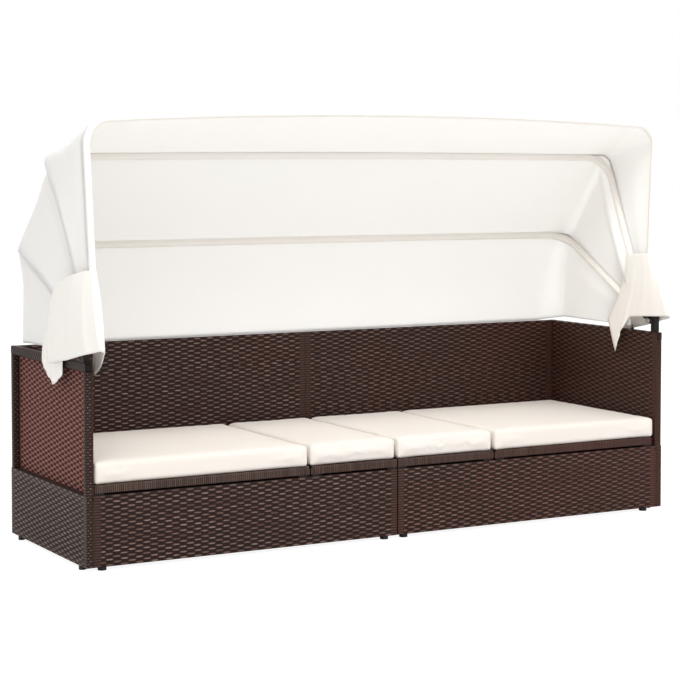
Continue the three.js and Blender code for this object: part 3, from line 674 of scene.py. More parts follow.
def bow_line(bow, start, corner=TUBE_CORNER):
    """A bow's line in its plane from its left foot to its right, with the outward direction at each point"""
    leg_end = bow["reach"] - corner
    r_leg = np.linspace(start, leg_end, LEG_STEPS + 1)
    turn = np.linspace(0.0, math.pi / 2, CORNER_STEPS + 1)[1:]
    share = np.linspace(1.0, 0.0, TOP_STEPS + 1)[1:]
    x = np.concatenate([
        spread_at(bow, r_leg),
        SPREAD_TOP - corner + corner * np.cos(turn),
        (SPREAD_TOP - corner) * share,
    ])
    r = np.concatenate([
        r_leg,
        leg_end + corner * np.sin(turn),
        bow["reach"] + bow["crown"] * (1 - share ** 2),
    ])
    x, r = both_sides(x, r)
    tangent_x, tangent_r = np.gradient(x), np.gradient(r)
    length = np.hypot(tangent_x, tangent_r)
    return x, r, -tangent_r / length, tangent_x / length


def leaned(lean, x, r, forward=0.0):
    """Points of a bow's plane, x across and r from the pivot, in the daybed's own space"""
    return np.stack([
        x + 0 * r,
        PIVOT[1] + r * math.sin(lean) - forward * math.cos(lean) + 0 * x,
        PIVOT[2] + r * math.cos(lean) + forward * math.sin(lean) + 0 * x,
    ], axis=-1)


def bow_row(name, offset, forward=0.0):
    """The cloth's line over a bow; at the upper corners of the rear two it stands off the tube"""
    bow = BOWS[name]
    x, r, out_x, out_r = bow_line(bow, COVER_START, CLOTH_CORNER[name])
    below = (bow["reach"] - r) / EAR_REACH
    inside = (SPREAD_TOP - np.abs(x)) / (EAR_REACH * 0.5)
    ear = EARS[name] * np.exp(-(below ** 2) - np.clip(inside, 0.0, None) ** 2)
    x = x + out_x * offset + np.sign(x) * ear
    return leaned(bow["lean"], x, r + out_r * offset + ear * 0.3, forward)


def hem_row(offset):
    """The cover's lower edge, over the arms and along the back"""
    corner_y = HEM_BACK - HEM_CORNER
    back_z = ARM_TOP + HEM_REST
    hem_lean = math.acos((HEM_HEIGHT - PIVOT[2]) / HEM_REACH)
    along = np.linspace(COVER_START, corner_y - PIVOT[1], LEG_STEPS + 1)
    x_leg = spread_at(BOWS["rear"], along) + offset
    y_leg = PIVOT[1] + along * math.sin(hem_lean)
    share = np.linspace(0.0, 1.0, CORNER_STEPS + 1)[1:]
    turn = share * math.pi / 2
    x_corner = SPREAD_TOP - HEM_CORNER + (HEM_CORNER + offset) * np.cos(turn)
    y_corner = corner_y + (HEM_CORNER + offset) * np.sin(turn)
    z_corner = HEM_HEIGHT + (back_z - HEM_HEIGHT) * share
    top = np.linspace(1.0, 0.0, TOP_STEPS + 1)[1:]
    x = np.concatenate([x_leg, x_corner, (SPREAD_TOP - HEM_CORNER) * top])
    y = np.concatenate([y_leg, y_corner, np.full(TOP_STEPS, HEM_BACK + offset)])
    z = np.concatenate([np.full(LEG_STEPS + 1, HEM_HEIGHT), z_corner, np.full(TOP_STEPS, back_z)])
    return np.stack(both_sides(x, y, z), axis=-1)


def grid_normals(points):
    """Unit normals of a grid of points"""
    down = np.gradient(points, axis=0)
    across = np.gradient(points, axis=1)
    normal = np.cross(across, down)
    return normal / np.maximum(np.linalg.norm(normal, axis=-1, keepdims=True), 1e-12)


def sheet_area(points):
    """The area of a sheet from the grid of its points"""
    a, b = points[:-1, :-1], points[:-1, 1:]
    c, d = points[1:, 1:], points[1:, :-1]
    halves = np.cross(b - a, c - a), np.cross(c - a, d - a)
    return float(sum(np.linalg.norm(half, axis=-1) for half in halves).sum() / 2)


def line_length(points):
    return float(np.linalg.norm(np.diff(points, axis=0), axis=-1).sum())


def cloth_piece(name, points, nodes=(), single=False):
    """A thin closed sheet on a grid of points"""
    normal = grid_normals(points) * (CLOTH_THICKNESS / 2)
    vertices = np.concatenate([(points + normal).reshape(-1, 3), (points - normal).reshape(-1, 3)])
    quads, _ = slab_quads(*points.shape[:2])
    piece = make_piece(name, vertices, quads, [cover_finish(single)])
    if nodes:
        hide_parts(*nodes)
    width = max(line_length(points[row]) for row in range(len(points)))
    length = max(line_length(points[:, column]) for column in range(points.shape[1]))
    area = sheet_area(points)
    return piece


def smooth_step(x):
    x = np.clip(x, 0.0, 1.0)
    return x * x * (3 - 2 * x)


def cover_panel(first, last, rows, sag_top, sag_side, ends, fold=None):
    """A panel stretched between two lines and drawn in between them. At its sides it drops within the end
    shares, and a fold there is given as its distance from the first line, its width and its depth"""
    share = np.linspace(0.0, 1.0, rows)[:, None]
    flat = first[None] + (last - first)[None] * share[..., None]
    columns = first.shape[0]
    centre = (columns - 1) / 2
    side = smooth_step((np.abs(np.arange(columns) - centre) - TOP_STEPS + 4) / (CORNER_STEPS + 2))[None]
    normal = grid_normals(flat)
    middle = np.array((0.0, PIVOT[1], PIVOT[2] - 0.2))
    facing = np.sign(np.einsum("ijk,ijk->ij", normal, flat - middle))
    inward = -normal * facing[..., None]
    dip = smooth_step(share / ends[0]) * smooth_step((1 - share) / ends[1])
    bulge = 4 * share * (1 - share) * sag_top * (1 - side) + dip * sag_side * side
    if fold:
        distance, width, depth = fold
        reach = share * np.linalg.norm(last - first, axis=-1)[None]
        bulge = bulge + np.exp(-(((reach - distance) / width) ** 2)) * depth * side
    return flat + inward * bulge[..., None]


def along_line(points, shares, count):
    """Points along a line of control points, each placed at its share"""
    t = np.linspace(0.0, 1.0, count)
    points = np.asarray(points, float)
    return np.stack([np.interp(t, shares, points[:, axis]) for axis in range(3)], axis=-1)


def hanging_sheet(top, middle, hem, shares, down, along, folds=0.0013):
    """A sheet that hangs through three lines, smooth from top to hem, with folds that deepen downward"""
    rows = [along_line(line, shares, along) for line in (top, middle, hem)]
    v = np.linspace(0.0, 1.0, down)[:, None, None]
    points = rows[0] * (1 - v) * (1 - 2 * v) + rows[1] * 4 * v * (1 - v) + rows[2] * v * (2 * v - 1)
    u = np.linspace(0.0, 1.0, along)[None, :]
    wave = folds * v[..., 0] * (np.sin(u * 9.5 * math.pi) + 0.5 * np.sin(u * 23 * math.pi + 1.0))
    return points + grid_normals(points) * wave[..., None]


# ---------------------------------------------------------------- what a user may change

COLOUR = {"subtype": "COLOR", "size": 3, "min": 0.0, "max": 1.0}
POWER = {"unit": "POWER", "min": 0.0, "max": 1000.0}


class DaybedWicker(bpy.types.PropertyGroup):
    float_length: FloatProperty(
        name="Float length", description="Visible length of a strand between two stakes",
        default=0.0225, min=0.01, max=0.05, unit="LENGTH",
    )
    row_height: FloatProperty(
        name="Row height", description="Height of one row of strand",
        default=0.00775, min=0.004, max=0.02, unit="LENGTH",
    )
    weave_depth: FloatProperty(
        name="Weave depth", description="How far the strands rise and fall",
        default=0.002, min=0.0005, max=0.002, unit="LENGTH",
    )
    wrap_pitch: FloatProperty(
        name="Wrap pitch", description="Distance between turns round the tubes",
        default=0.0078, min=0.004, max=0.02, unit="LENGTH",
    )
    wrap_depth: FloatProperty(
        name="Wrap depth", description="How far the turns stand out",
        default=0.0012, min=0.0002, max=0.002, unit="LENGTH",
    )
    strand: FloatVectorProperty(
        name="Strand", description="Colour of the strand's face", default=(0.105, 0.054, 0.040), **COLOUR,
    )
    # The redder stretches are partly random patches and partly painted shade towards the right
    warm_strand: FloatVectorProperty(
        name="Warm strand", description="Colour of the strand in its redder stretches",
        default=(0.160, 0.056, 0.038), **COLOUR,
    )
    # Crest is the colour of a painted highlight on the strands' crests
    crest: FloatVectorProperty(
        name="Crest", description="Colour of the strand where it stands highest",
        default=(0.64, 0.49, 0.43), **COLOUR,
    )
    strand_back: FloatVectorProperty(
        name="Strand back", description="Colour of the strand's duller back",
        default=(0.30, 0.136, 0.108), **COLOUR,
    )
    # Painted shade in the gaps between the strands' backs
    strand_back_gap: FloatVectorProperty(
        name="Strand back gaps", description="Colour between the strands' duller backs",
        default=(0.050, 0.012, 0.010), **COLOUR,
    )
    gloss: FloatProperty(
        name="Roughness", description="Roughness of the strand's face",
        default=0.36, min=0.1, max=1.0, subtype="FACTOR",
    )


class DaybedSoft(bpy.types.PropertyGroup):
    cushion: FloatVectorProperty(
        name="Cushions", description="Colour of the cushion cloth", default=(0.86, 0.805, 0.75), **COLOUR,
    )
    cover: FloatVectorProperty(
        name="Cover", description="Colour of the cover cloth", default=(0.915, 0.885, 0.842), **COLOUR,
    )
    crown: FloatProperty(
        name="Crown", description="How far a cushion's top swells",
        default=0.005, min=0.0, max=0.02, unit="LENGTH",
    )
    edge: FloatProperty(
        name="Edge", description="Radius of a cushion's edges",
        default=0.005, min=0.005, max=0.025, unit="LENGTH",
    )
    pressure: FloatProperty(
        name="Pressure", description="Pressure that fills the cushions", default=2.0, min=0.0, max=10.0,
    )


class DaybedStage(bpy.types.PropertyGroup):
    key: FloatProperty(name="Key", description="Power of the light on the left", default=12.5, **POWER)
    front: FloatProperty(name="Front", description="Power of the broad front light", default=5.0, **POWER)
    high: FloatProperty(name="High", description="Power of the high front light", default=106.0, **POWER)
    back: FloatProperty(name="Back", description="Power of the light behind the cover", default=90.0, **POWER)
    sky: FloatProperty(
        name="Sky", description="Strength of the even light all round", default=0.74, min=0.0, max=2.0,
    )


# ---------------------------------------------------------------- operators

class DAYBED_OT_stage(bpy.types.Operator):
    """Sets up the camera, the lights, the floor and the white surround"""
    bl_idname = "daybed.stage"
    bl_label = "Stage"

    def execute(self, context):
        scene = context.scene
        settings = scene.daybed_stage
        scene.view_settings.view_transform = "Standard"
        camera_data = bpy.data.cameras.new("view_camera")
        camera = bpy.data.objects.new("view_camera", camera_data)
        scene.collection.objects.link(camera)
        level = math.cos(CAMERA_PITCH)
        looking = Vector((math.sin(CAMERA_YAW) * level, math.cos(CAMERA_YAW) * level, -math.sin(CAMERA_PITCH)))
        camera.location = CAMERA_PLACE
        camera.rotation_euler = looking.to_track_quat("-Z", "Y").to_euler()
        camera_data.lens = FOCAL_PIXELS * SENSOR / PICTURE
        camera_data.sensor_width = SENSOR
        camera_data.shift_y = SHIFT_PIXELS / PICTURE
        camera_data.clip_end = 100.0
        scene.camera = camera

        self.area_light("key_light", (-3.8, -3.0, 2.8), (0.0, 0.0, 0.5), (2.0, 2.0), settings.key)
        self.area_light("front_light", (-0.6, -6.2, 1.4), (0.0, 0.0, 0.75), (5.0, 2.4), settings.front)
        self.area_light("high_light", (-0.3, -2.1, 4.0), (0.0, 0.0, 0.40), (4.0, 1.6), settings.high)
        self.area_light("back_light", (2.9, 3.3, 2.6), (0.2, 0.1, 0.95), (4.0, 2.4), settings.back)

        world = bpy.data.worlds.new("white_surround")
        scene.world = world
        surround = Finish(world)
        shown = surround.ray("Camera").larger(surround.ray("Transmission")).larger(surround.ray("Glossy"))
        sky = {"Color": (1.0, 0.995, 0.985, 1.0), "Strength": settings.sky}
        light = surround.add("ShaderNodeBackground", None, sky)
        white = surround.add("ShaderNodeBackground", None, {"Color": WHITE, "Strength": 1.0})
        both = surround.add("ShaderNodeMixShader", None, {"Fac": shown, 1: light, 2: white})
        surround.output(both, "ShaderNodeOutputWorld")

        mesh = bpy.data.meshes.new("floor")
        corners = [(x * FLOOR_HALF, y * FLOOR_HALF, 0.0) for x, y in ((-1, -1), (1, -1), (1, 1), (-1, 1))]
        mesh.from_pydata(corners, [], [(0, 1, 2, 3)])
        floor = bpy.data.objects.new("floor", mesh)
        scene.collection.objects.link(floor)
        finish = Finish(bpy.data.materials.new("pale_floor"))
        seen = finish.ray("Camera")
        glow = finish.add("ShaderNodeEmission", None, {"Color": WHITE, "Strength": seen * 0.92})
        pale = finish.mix(seen, (0.88, 0.88, 0.88), (0.28, 0.28, 0.28))
        matt = finish.add("ShaderNodeBsdfDiffuse", None, {"Color": pale})
        finish.output(finish.add("ShaderNodeAddShader", None, {0: glow, 1: matt}))
        mesh.materials.append(finish.owner)
        return {"FINISHED"}

    @staticmethod
    def area_light(name, place, target, size, power):
        data = bpy.data.lights.new(name, "AREA")
        data.shape = "RECTANGLE"
        data.size, data.size_y = size
        data.energy = power
        light = bpy.data.objects.new(name, data)
        bpy.context.scene.collection.objects.link(light)
        light.location = place
        light.rotation_euler = (Vector(target) - Vector(place)).to_track_quat("-Z", "Y").to_euler()


class DAYBED_OT_arms(bpy.types.Operator):
    """Weaves the arms' skins and winds their frames"""
    bl_idname = "daybed.arms"
    bl_label = "Arms"

    def execute(self, context):
        for seed, (side, sign) in enumerate(zip(SIDES, (-1, 1)), 1):
            low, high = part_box(f"{side}_arm_inner_skin")
            inner_x = high.x if sign < 0 else low.x
            woven_piece(
                f"{side}_arm_weave", (inner_x, low.y, low.z), (0, 1, 0), (-sign, 0, 0),
                (high.y - low.y, high.z - low.z), f"{side}_arm_inner_skin", SKIN, seed, HIDDEN_BELOW - low.z,
            )
            (x0, y0, z0), (x1, y1, z1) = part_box(f"{side}_arm_frame")
            outer_x = (x0 if sign < 0 else x1) + sign * OUTER_SKIN_PROUD
            # The outer lower panel takes the paler copy of the strand: painted light on that side
            woven_piece(
                f"{side}_arm_lower_weave", (outer_x, y0 - OUTER_SKIN_LAP, z0), (0, 1, 0), (sign, 0, 0),
                (y1 - y0 + 2 * OUTER_SKIN_LAP, OUTER_SKIN_HEIGHT), f"{side}_arm_outer_skin", OUTER_SKIN,
                seed + 10, plain_back=True, finish=lit_side_finish(),
            )
            bars = [
                ((x0, y0, z0), (x1, y0 + TUBE, z1 - ARM_RAIL), 2),
                ((x0, y1 - TUBE, z0), (x1, y1, z1 - ARM_RAIL), 2),
                ((x0, y0, z1 - ARM_RAIL), (x1, y1, z1), 1),
                ((x0, y0 + TUBE, BOX_TOP - TUBE), (x1, y1 - TUBE, BOX_TOP), 1),
                ((x0, y0 + TUBE, z0), (x1, y1 - TUBE, z0 + TUBE), 1),
            ]
            wrapped_frame(f"{side}_arm_wrap", bars, f"{side}_arm_frame")
        return {"FINISHED"}


class DAYBED_OT_back(bpy.types.Operator):
    """Weaves the back's skins and winds its frames"""
    bl_idname = "daybed.back"
    bl_label = "Back"

    def execute(self, context):
        for seed, side in enumerate(SIDES, 3):
            low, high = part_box(f"{side}_back_front_skin")
            woven_piece(
                f"{side}_back_weave", (low.x, low.y, low.z), (1, 0, 0), (0, -1, 0),
                (high.x - low.x, high.z - low.z), f"{side}_back_front_skin", SKIN, seed, HIDDEN_BELOW - low.z,
            )
            (x0, y0, z0), (x1, y1, z1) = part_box(f"{side}_back_frame")
            woven_piece(
                f"{side}_back_lower_weave", (x0, y1 + OUTER_SKIN_PROUD, z0), (1, 0, 0), (0, 1, 0),
                (x1 - x0, OUTER_SKIN_HEIGHT), f"{side}_back_rear_skin", OUTER_SKIN, seed + 10, plain_back=True,
            )
            middle = (x0 + x1) / 2
            bars = [((x0, y0, z1 - ARM_RAIL), (x1, y1, z1), 0)]
            for x in (x0, x1 - TUBE):
                bars.append(((x, y0, z0), (x + TUBE, y1, z1 - ARM_RAIL), 2))
            bars.append(((middle - TUBE / 2, y0, BOX_TOP), (middle + TUBE / 2, y1, z1 - ARM_RAIL), 2))
            for z in (z0, BOX_TOP - TUBE):
                bars.append(((x0 + TUBE, y0, z), (x1 - TUBE, y1, z + TUBE), 0))
            wrapped_frame(f"{side}_back_wrap", bars, f"{side}_back_frame")
        return {"FINISHED"}


class DAYBED_OT_boxes(bpy.types.Operator):
    """Weaves the seat boxes' fronts and finishes their frames and feet"""
    bl_idname = "daybed.boxes"
    bl_label = "Seat boxes"

    def execute(self, context):
        for seed, side in enumerate(SIDES, 5):
            low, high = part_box(f"{side}_box_front_skin")
            woven_piece(
                f"{side}_box_weave", (low.x, low.y, low.z), (1, 0, 0), (0, -1, 0),
                (high.x - low.x, high.z - low.z), f"{side}_box_front_skin", SKIN, seed, plain_back=True,
            )
        finish_cad([f"{side}_box_frame" for side in SIDES], tube_finish())
        glides = [node for node in frame["nodes"] if node.endswith("_glide")]
        finish_cad(glides, rubber_finish(), bevel=0.0015)
        return {"FINISHED"}


class DAYBED_OT_boards(bpy.types.Operator):
    """Winds the seat boards' decks and front aprons and finishes their frames"""
    bl_idname = "daybed.boards"
    bl_label = "Seat boards"

    def execute(self, context):
        for number in range(1, 5):
            self.deck(number)
        finish_cad([f"seat_board_{number}_frame" for number in range(1, 5)], tube_finish())
        return {"FINISHED"}

    @staticmethod
    def deck(number):
        """One board's winding, over its front edge and top. It stops a little short of the seam with the
        next board, which is at the right of odd boards and at the left of even ones"""
        low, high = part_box(f"seat_board_{number}_deck")
        inset_low, inset_high = (0.0, HINGE_INSET) if number % 2 else (HINGE_INSET, 0.0)
        count = max(4, round((high.x - low.x) / DECK_PITCH))
        x = np.linspace(low.x, high.x, count * ROW_SAMPLES + 1)
        phase = (np.arange(len(x)) % ROW_SAMPLES) / ROW_SAMPLES
        rib = np.sin(phase * math.pi) ** STRAND_BLUNTNESS
        profile = [(low.y, z, -1.0, 0.0) for z in np.linspace(low.z, high.z - DECK_EDGE, 6)]
        for turn in (30, 60, 90):
            cosine, sine = math.cos(math.radians(turn)), math.sin(math.radians(turn))
            profile.append((low.y + DECK_EDGE * (1 - cosine), high.z - DECK_EDGE * (1 - sine), -cosine, sine))
        profile += [(y, high.z, 0.0, 1.0) for y in np.linspace(low.y + DECK_FRONT, high.y, 14)]
        y, z, out_y, out_z = np.array(profile).T[..., None]
        grid_x = np.where(out_y > -0.99, np.clip(x, low.x + inset_low, high.x - inset_high), x)
        outward = (rib - 1.0) * DECK_RIB
        front = np.stack([grid_x, y + outward * out_y, z + outward * out_z], axis=-1)
        inside = (y - DECK_SKIN * out_y + 0 * grid_x, z - DECK_SKIN * out_z + 0 * grid_x)
        back = np.stack([grid_x, *inside], axis=-1)
        lift = np.broadcast_to(0.15 + 0.85 * rib, grid_x.shape)
        piece = make_piece(
            f"seat_board_{number}_winding", np.concatenate([front.reshape(-1, 3), back.reshape(-1, 3)]),
            slab_quads(*grid_x.shape)[0], [deck_finish()],
            np.concatenate([lift.ravel(), np.full(lift.size, MID_LIFT)]),
        )
        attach(piece, {1: "left_headrest", 4: "right_headrest"}.get(number, "base"))
        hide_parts(f"seat_board_{number}_deck")


class DAYBED_OT_cushions(bpy.types.Operator):
    """Fills the four seat cushions"""
    bl_idname = "daybed.cushions"
    bl_label = "Cushions"

    def execute(self, context):
        for number in range(1, 5):
            self.cushion(number)
        return {"FINISHED"}

    @staticmethod
    def cushion(number):
        settings = bpy.context.scene.daybed_soft
        low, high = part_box(f"cushion_{number}")
        top = high.z - settings.crown
        start_low = (low.x + CUSHION_INSET, low.y + CUSHION_INSET, low.z)
        start_high = (high.x - CUSHION_INSET, high.y - CUSHION_INSET, top)
        mesh_size = CUSHION_MESH[high.x - low.x > WIDE_CUSHION]
        piece = cushion_blank(f"cushion_{number}_cloth", start_low, start_high, settings.edge, mesh_size)
        points = coordinates(piece.data)
        centre = np.array([(low.x + high.x) / 2, (low.y + high.y) / 2, low.z])
        half = np.array([(high.x - low.x) / 2, (high.y - low.y) / 2, top - low.z])
        share = (points - centre) / half
        across = np.clip(1 - share[:, :2] ** 8, 0, 1)
        for axis, draw in enumerate(CUSHION_DRAW):
            drawn = np.sign(share[:, axis]) * np.abs(share[:, axis]) ** 12
            points[:, axis] -= drawn * across[:, 1 - axis] * draw
        crown = settings.crown * 0.55 * across[:, 0] ** 0.5 * across[:, 1] ** 0.5
        points[:, 2] += np.clip(share[:, 2], 0, 1) * crown
        set_coordinates(piece, points)
        swell(piece, settings.pressure)
        points = coordinates(piece.data)
        for axis in (0, 1):
            first, last = points[:, axis].min(), points[:, axis].max()
            span = start_high[axis] - start_low[axis]
            points[:, axis] = start_low[axis] + (points[:, axis] - first) * span / (last - first)
        for axis, (below, above) in enumerate(CUSHION_ROOM):
            points[:, axis] = np.clip(points[:, axis], low[axis] - below, high[axis] + above)
        set_coordinates(piece, points)
        smooth = piece.modifiers.new("finer", "SUBSURF")
        smooth.levels = smooth.render_levels = 1
        apply_modifiers(piece)
        piece.data.materials.clear()
        piece.data.materials.append(cushion_finish())
        piece.data.shade_smooth()
        if number in (1, 4):
            seam = high.x if number == 1 else low.x
            bend = -CUSHION_BEND if number == 1 else CUSHION_BEND
            start, end = (seam, 0, CUSHION_MIDDLE), (seam + bend, 0, CUSHION_MIDDLE)
            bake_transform(piece)
            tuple(start)
            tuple(end)
        else:
            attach(piece, "base")
        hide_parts(f"cushion_{number}")


class DAYBED_OT_cover(bpy.types.Operator):
    """Stretches the cover over the bows, with its hem, sleeves, cuffs and tail"""
    bl_idname = "daybed.cover"
    bl_label = "Cover"

    def execute(self, context):
        leans = {name: bow["lean"] for name, bow in BOWS.items()}
        over, under = COVER_OFFSET + SEAM_STEP, COVER_OFFSET - SEAM_STEP
        self.panel(
            "front", bow_row("front", COVER_OFFSET), bow_row("middle", over, -SEAM_LAP),
            (40, 0.006, 0.009, (0.6, 0.6), None),
            ("middle_bow", "front_bow"), (leans["middle"] + leans["front"]) / 2, 0.070,
        )
        self.panel(
            "middle", bow_row("middle", under, SEAM_LAP), bow_row("rear", over, -SEAM_LAP),
            (64, 0.008, 0.012, (0.3, 0.6), (0.044, 0.026, 0.014)),
            ("rear_bow", "middle_bow"), (leans["rear"] + leans["middle"]) / 2, 0.080,
        )
        self.panel(
            "rear", bow_row("rear", under, SEAM_LAP), hem_row(COVER_OFFSET - 0.007),
            (30, -0.019, 0.010, (0.45, 0.7), None),
            ("base", "rear_bow"), (HEM_LEAN + leans["rear"]) / 2, 0.080,
        )
        self.front_hem()
        self.sleeve("middle", leans["front"], leans["rear"])
        self.sleeve("rear", leans["middle"], HEM_LEAN)
        self.cuffs()
        return {"FINISHED"}

    @staticmethod
    def panel(name, first, last, drape, bodies, bisector, reach):
        """A panel between two lines, draped as cover_panel says. The bodies given to it are not used"""
        piece = cloth_piece(
            f"cover_{name}_cloth", cover_panel(first, last, *drape), single=True,
            nodes=[f"cover_{name}_panel"],
        )
        turn = np.array((0.0, math.cos(bisector), -math.sin(bisector)))
        pivot = np.array((0.0, PIVOT[1], PIVOT[2]))
        tuple(pivot + turn * reach)
        tuple(pivot - turn * reach)
        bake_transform(piece)

    @staticmethod
    def front_hem():
        """The cloth pocket round the front bow, turned in and stitched behind it"""
        bow = BOWS["front"]
        x, r, out_x, out_r = bow_line(bow, POCKET_START)
        rows = [(0.0068, -0.017), (0.0048, -0.0145), (-0.0015, -0.012), (-0.0066, -0.009)]
        for degrees in range(-30, 181, 15):
            angle = math.radians(degrees)
            rows.append((-HEM_RADIUS * math.cos(angle), HEM_RADIUS * math.sin(angle)))
        points = np.stack([leaned(bow["lean"], x + out_x * o, r + out_r * o, f) for o, f in rows])
        piece = cloth_piece("cover_front_hem", points)
        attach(piece, "front_bow")

    @staticmethod
    def sleeve(name, lean_before, lean_after):
        """A strip sewn inside the cover to hold a bow, its edges turned out against the panels"""
        bow = BOWS[name]
        x, r, out_x, out_r = bow_line(bow, POCKET_START)
        radius, reach, tuck = SLEEVE_RADIUS, SLEEVE_REACH, SLEEVE_TUCK
        before, after = (math.tan(abs(bow["lean"] - lean) / 2) for lean in (lean_before, lean_after))
        rows = [(COVER_OFFSET - 0.0009 - reach * before, reach), (COVER_OFFSET - 0.0014 - tuck * before, tuck)]
        for degrees in range(10, 171, 10):
            angle = math.radians(degrees)
            rows.append((-radius * math.sin(angle), radius * math.cos(angle)))
        rows += [(COVER_OFFSET - 0.0014 - tuck * after, -tuck), (COVER_OFFSET - 0.0009 - reach * after, -reach)]
        points = np.stack([leaned(bow["lean"], x + out_x * o, r + out_r * o, f) for o, f in rows])
        piece = cloth_piece(f"cover_{name}_sleeve", points)
        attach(piece, f"{name}_bow")

    @staticmethod
    def cuffs():
        """The cover's loose front corners, each hanging round an arm's corner from outside to inside, and
        the tail behind the left one"""
        shares = (0.0, 0.12, 0.3, 0.42, 0.5, 0.58, 0.7, 0.8, 0.88, 0.94, 1.0)
        left_top = (
            (-1.006, -0.054, 0.794), (-1.005, -0.095, 0.804), (-0.999, -0.170, 0.822), (-0.9815, -0.222, 0.834),
            (-0.970, -0.2425, 0.838), (-0.9575, -0.232, 0.836), (-0.955, -0.222, 0.835), (-0.954, -0.212, 0.834),
            (-0.954, -0.202, 0.833), (-0.954, -0.192, 0.832), (-0.954, -0.182, 0.830),
        )
        left_middle = (
            (-1.009, 0.008, 0.682), (-1.009, -0.040, 0.693), (-1.008, -0.140, 0.712), (-1.003, -0.240, 0.726),
            (-0.988, -0.300, 0.731), (-0.962, -0.282, 0.730), (-0.951, -0.255, 0.728), (-0.950, -0.240, 0.726),
            (-0.950, -0.225, 0.724), (-0.950, -0.210, 0.722), (-0.951, -0.195, 0.720),
        )
        left_hem = (
            (-1.0135, -0.004, 0.561), (-1.0135, -0.050, 0.566), (-1.0135, -0.160, 0.583), (-1.010, -0.290, 0.609),
            (-0.990, -0.345, 0.621), (-0.966, -0.310, 0.612), (-0.951, -0.262, 0.580), (-0.950, -0.225, 0.556),
            (-0.950, -0.202, 0.541), (-0.951, -0.190, 0.562), (-0.952, -0.192, 0.605),
        )
        right_top = (
            (1.006, -0.054, 0.794), (1.005, -0.095, 0.804), (0.999, -0.170, 0.822), (0.9815, -0.222, 0.834),
            (0.970, -0.2425, 0.838), (0.9575, -0.232, 0.838), (0.955, -0.205, 0.836), (0.954, -0.180, 0.834),
            (0.953, -0.160, 0.832), (0.952, -0.145, 0.830), (0.952, -0.125, 0.828),
        )
        right_middle = (
            (1.009, 0.000, 0.682), (1.009, -0.040, 0.693), (1.008, -0.140, 0.712), (1.001, -0.235, 0.726),
            (0.958, -0.296, 0.735), (0.951, -0.270, 0.735), (0.949, -0.225, 0.735), (0.948, -0.190, 0.732),
            (0.948, -0.160, 0.728), (0.949, -0.135, 0.726), (0.951, -0.108, 0.733),
        )
        right_hem = (
            (1.0135, -0.010, 0.568), (1.0135, -0.050, 0.575), (1.0135, -0.160, 0.598), (1.006, -0.285, 0.628),
            (0.958, -0.343, 0.641), (0.950, -0.300, 0.638), (0.949, -0.200, 0.632), (0.948, -0.149, 0.627),
            (0.948, -0.102, 0.572), (0.948, -0.076, 0.507), (0.951, -0.028, 0.613),
        )
        flaps = ((left_top, left_middle, left_hem), (right_top, right_middle, right_hem))
        for side, (top, middle, hem) in zip(SIDES, flaps):
            points = hanging_sheet(top, middle, hem, shares, 34, 101)
            piece = cloth_piece(f"cover_{side}_cuff", points, nodes=[f"cover_{side}_flap"])
            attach(piece, "front_bow")
        tail_shares = (0.0, 0.3, 0.6, 0.85, 1.0)
        tail_top = (
            (-1.001, 0.041, 0.656), (-1.003, 0.010, 0.650), (-1.004, -0.020, 0.645),
            (-1.004, -0.070, 0.635), (-1.003, -0.106, 0.622),
        )
        tail_middle = (
            (-1.005, 0.060, 0.605), (-1.007, 0.022, 0.590), (-1.009, -0.025, 0.580),
            (-1.007, -0.075, 0.585), (-1.005, -0.106, 0.598),
        )
        tail_hem = (
            (-1.006, 0.064, 0.557), (-1.009, 0.018, 0.529), (-1.012, -0.044, 0.502),
            (-1.009, -0.099, 0.531), (-1.007, -0.104, 0.560),
        )
        tail = hanging_sheet(tail_top, tail_middle, tail_hem, tail_shares, 18, 33, 0.0015)
        piece = cloth_piece("cover_left_tail", tail)
        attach(piece, "front_bow")


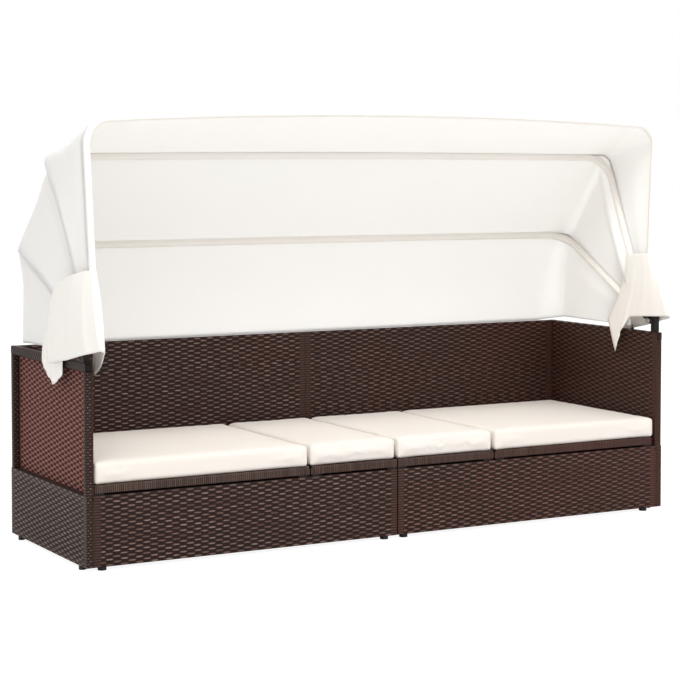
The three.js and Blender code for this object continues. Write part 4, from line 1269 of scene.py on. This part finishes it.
class DAYBED_OT_hardware(bpy.types.Operator):
    """Finishes the bows, posts, bolts, rods, props and ties"""
    bl_idname = "daybed.hardware"
    bl_label = "Hardware"

    def execute(self, context):
        steel = [f"{name}_bow" for name in BOWS] + [f"{side}_headrest_prop" for side in SIDES]
        finish_cad(steel, steel_finish())
        finish_cad([f"{side}_canopy_post" for side in SIDES], steel_finish(), bevel=0.0015)
        zinc = [f"{side}_{part}" for side in SIDES for part in ("pivot_bolt", "pivot_nut", "hinge_rod")]
        finish_cad(zinc, zinc_finish(), bevel=0.0006)
        finish_cad([f"{side}_cover_tie" for side in SIDES], rubber_finish())
        return {"FINISHED"}


class DAYBED_PT_panel(bpy.types.Panel):
    """Lists the daybed's steps and settings"""
    bl_idname = "DAYBED_PT_panel"
    bl_label = "Daybed"
    bl_space_type = "VIEW_3D"
    bl_region_type = "UI"
    bl_category = "Daybed"

    def draw(self, context):
        layout = self.layout
        for operator in OPERATORS:
            layout.operator(operator.bl_idname)
        for name in GROUPS:
            settings = getattr(context.scene, name)
            box = layout.box()
            for key in settings.bl_rna.properties.keys():
                if key not in ("rna_type", "name"):
                    box.prop(settings, key)


OPERATORS = (
    DAYBED_OT_stage, DAYBED_OT_arms, DAYBED_OT_back, DAYBED_OT_boxes, DAYBED_OT_boards,
    DAYBED_OT_cushions, DAYBED_OT_cover, DAYBED_OT_hardware,
)
GROUPS = {"daybed_wicker": DaybedWicker, "daybed_soft": DaybedSoft, "daybed_stage": DaybedStage}


def register():
    for group in GROUPS.values():
        bpy.utils.register_class(group)
    for operator in OPERATORS:
        bpy.utils.register_class(operator)
    bpy.utils.register_class(DAYBED_PT_panel)
    for name, group in GROUPS.items():
        setattr(bpy.types.Scene, name, PointerProperty(type=group))


def unregister():
    for name in GROUPS:
        delattr(bpy.types.Scene, name)
    bpy.utils.unregister_class(DAYBED_PT_panel)
    for operator in reversed(OPERATORS):
        bpy.utils.unregister_class(operator)
    for group in reversed(list(GROUPS.values())):
        bpy.utils.unregister_class(group)


def main():
    register()
    bpy.ops.daybed.stage()
    bpy.ops.daybed.arms()
    bpy.ops.daybed.back()
    bpy.ops.daybed.boxes()
    bpy.ops.daybed.boards()
    bpy.ops.daybed.cushions()
    bpy.ops.daybed.cover()
    bpy.ops.daybed.hardware()


if __name__ == "__main__":
    main()
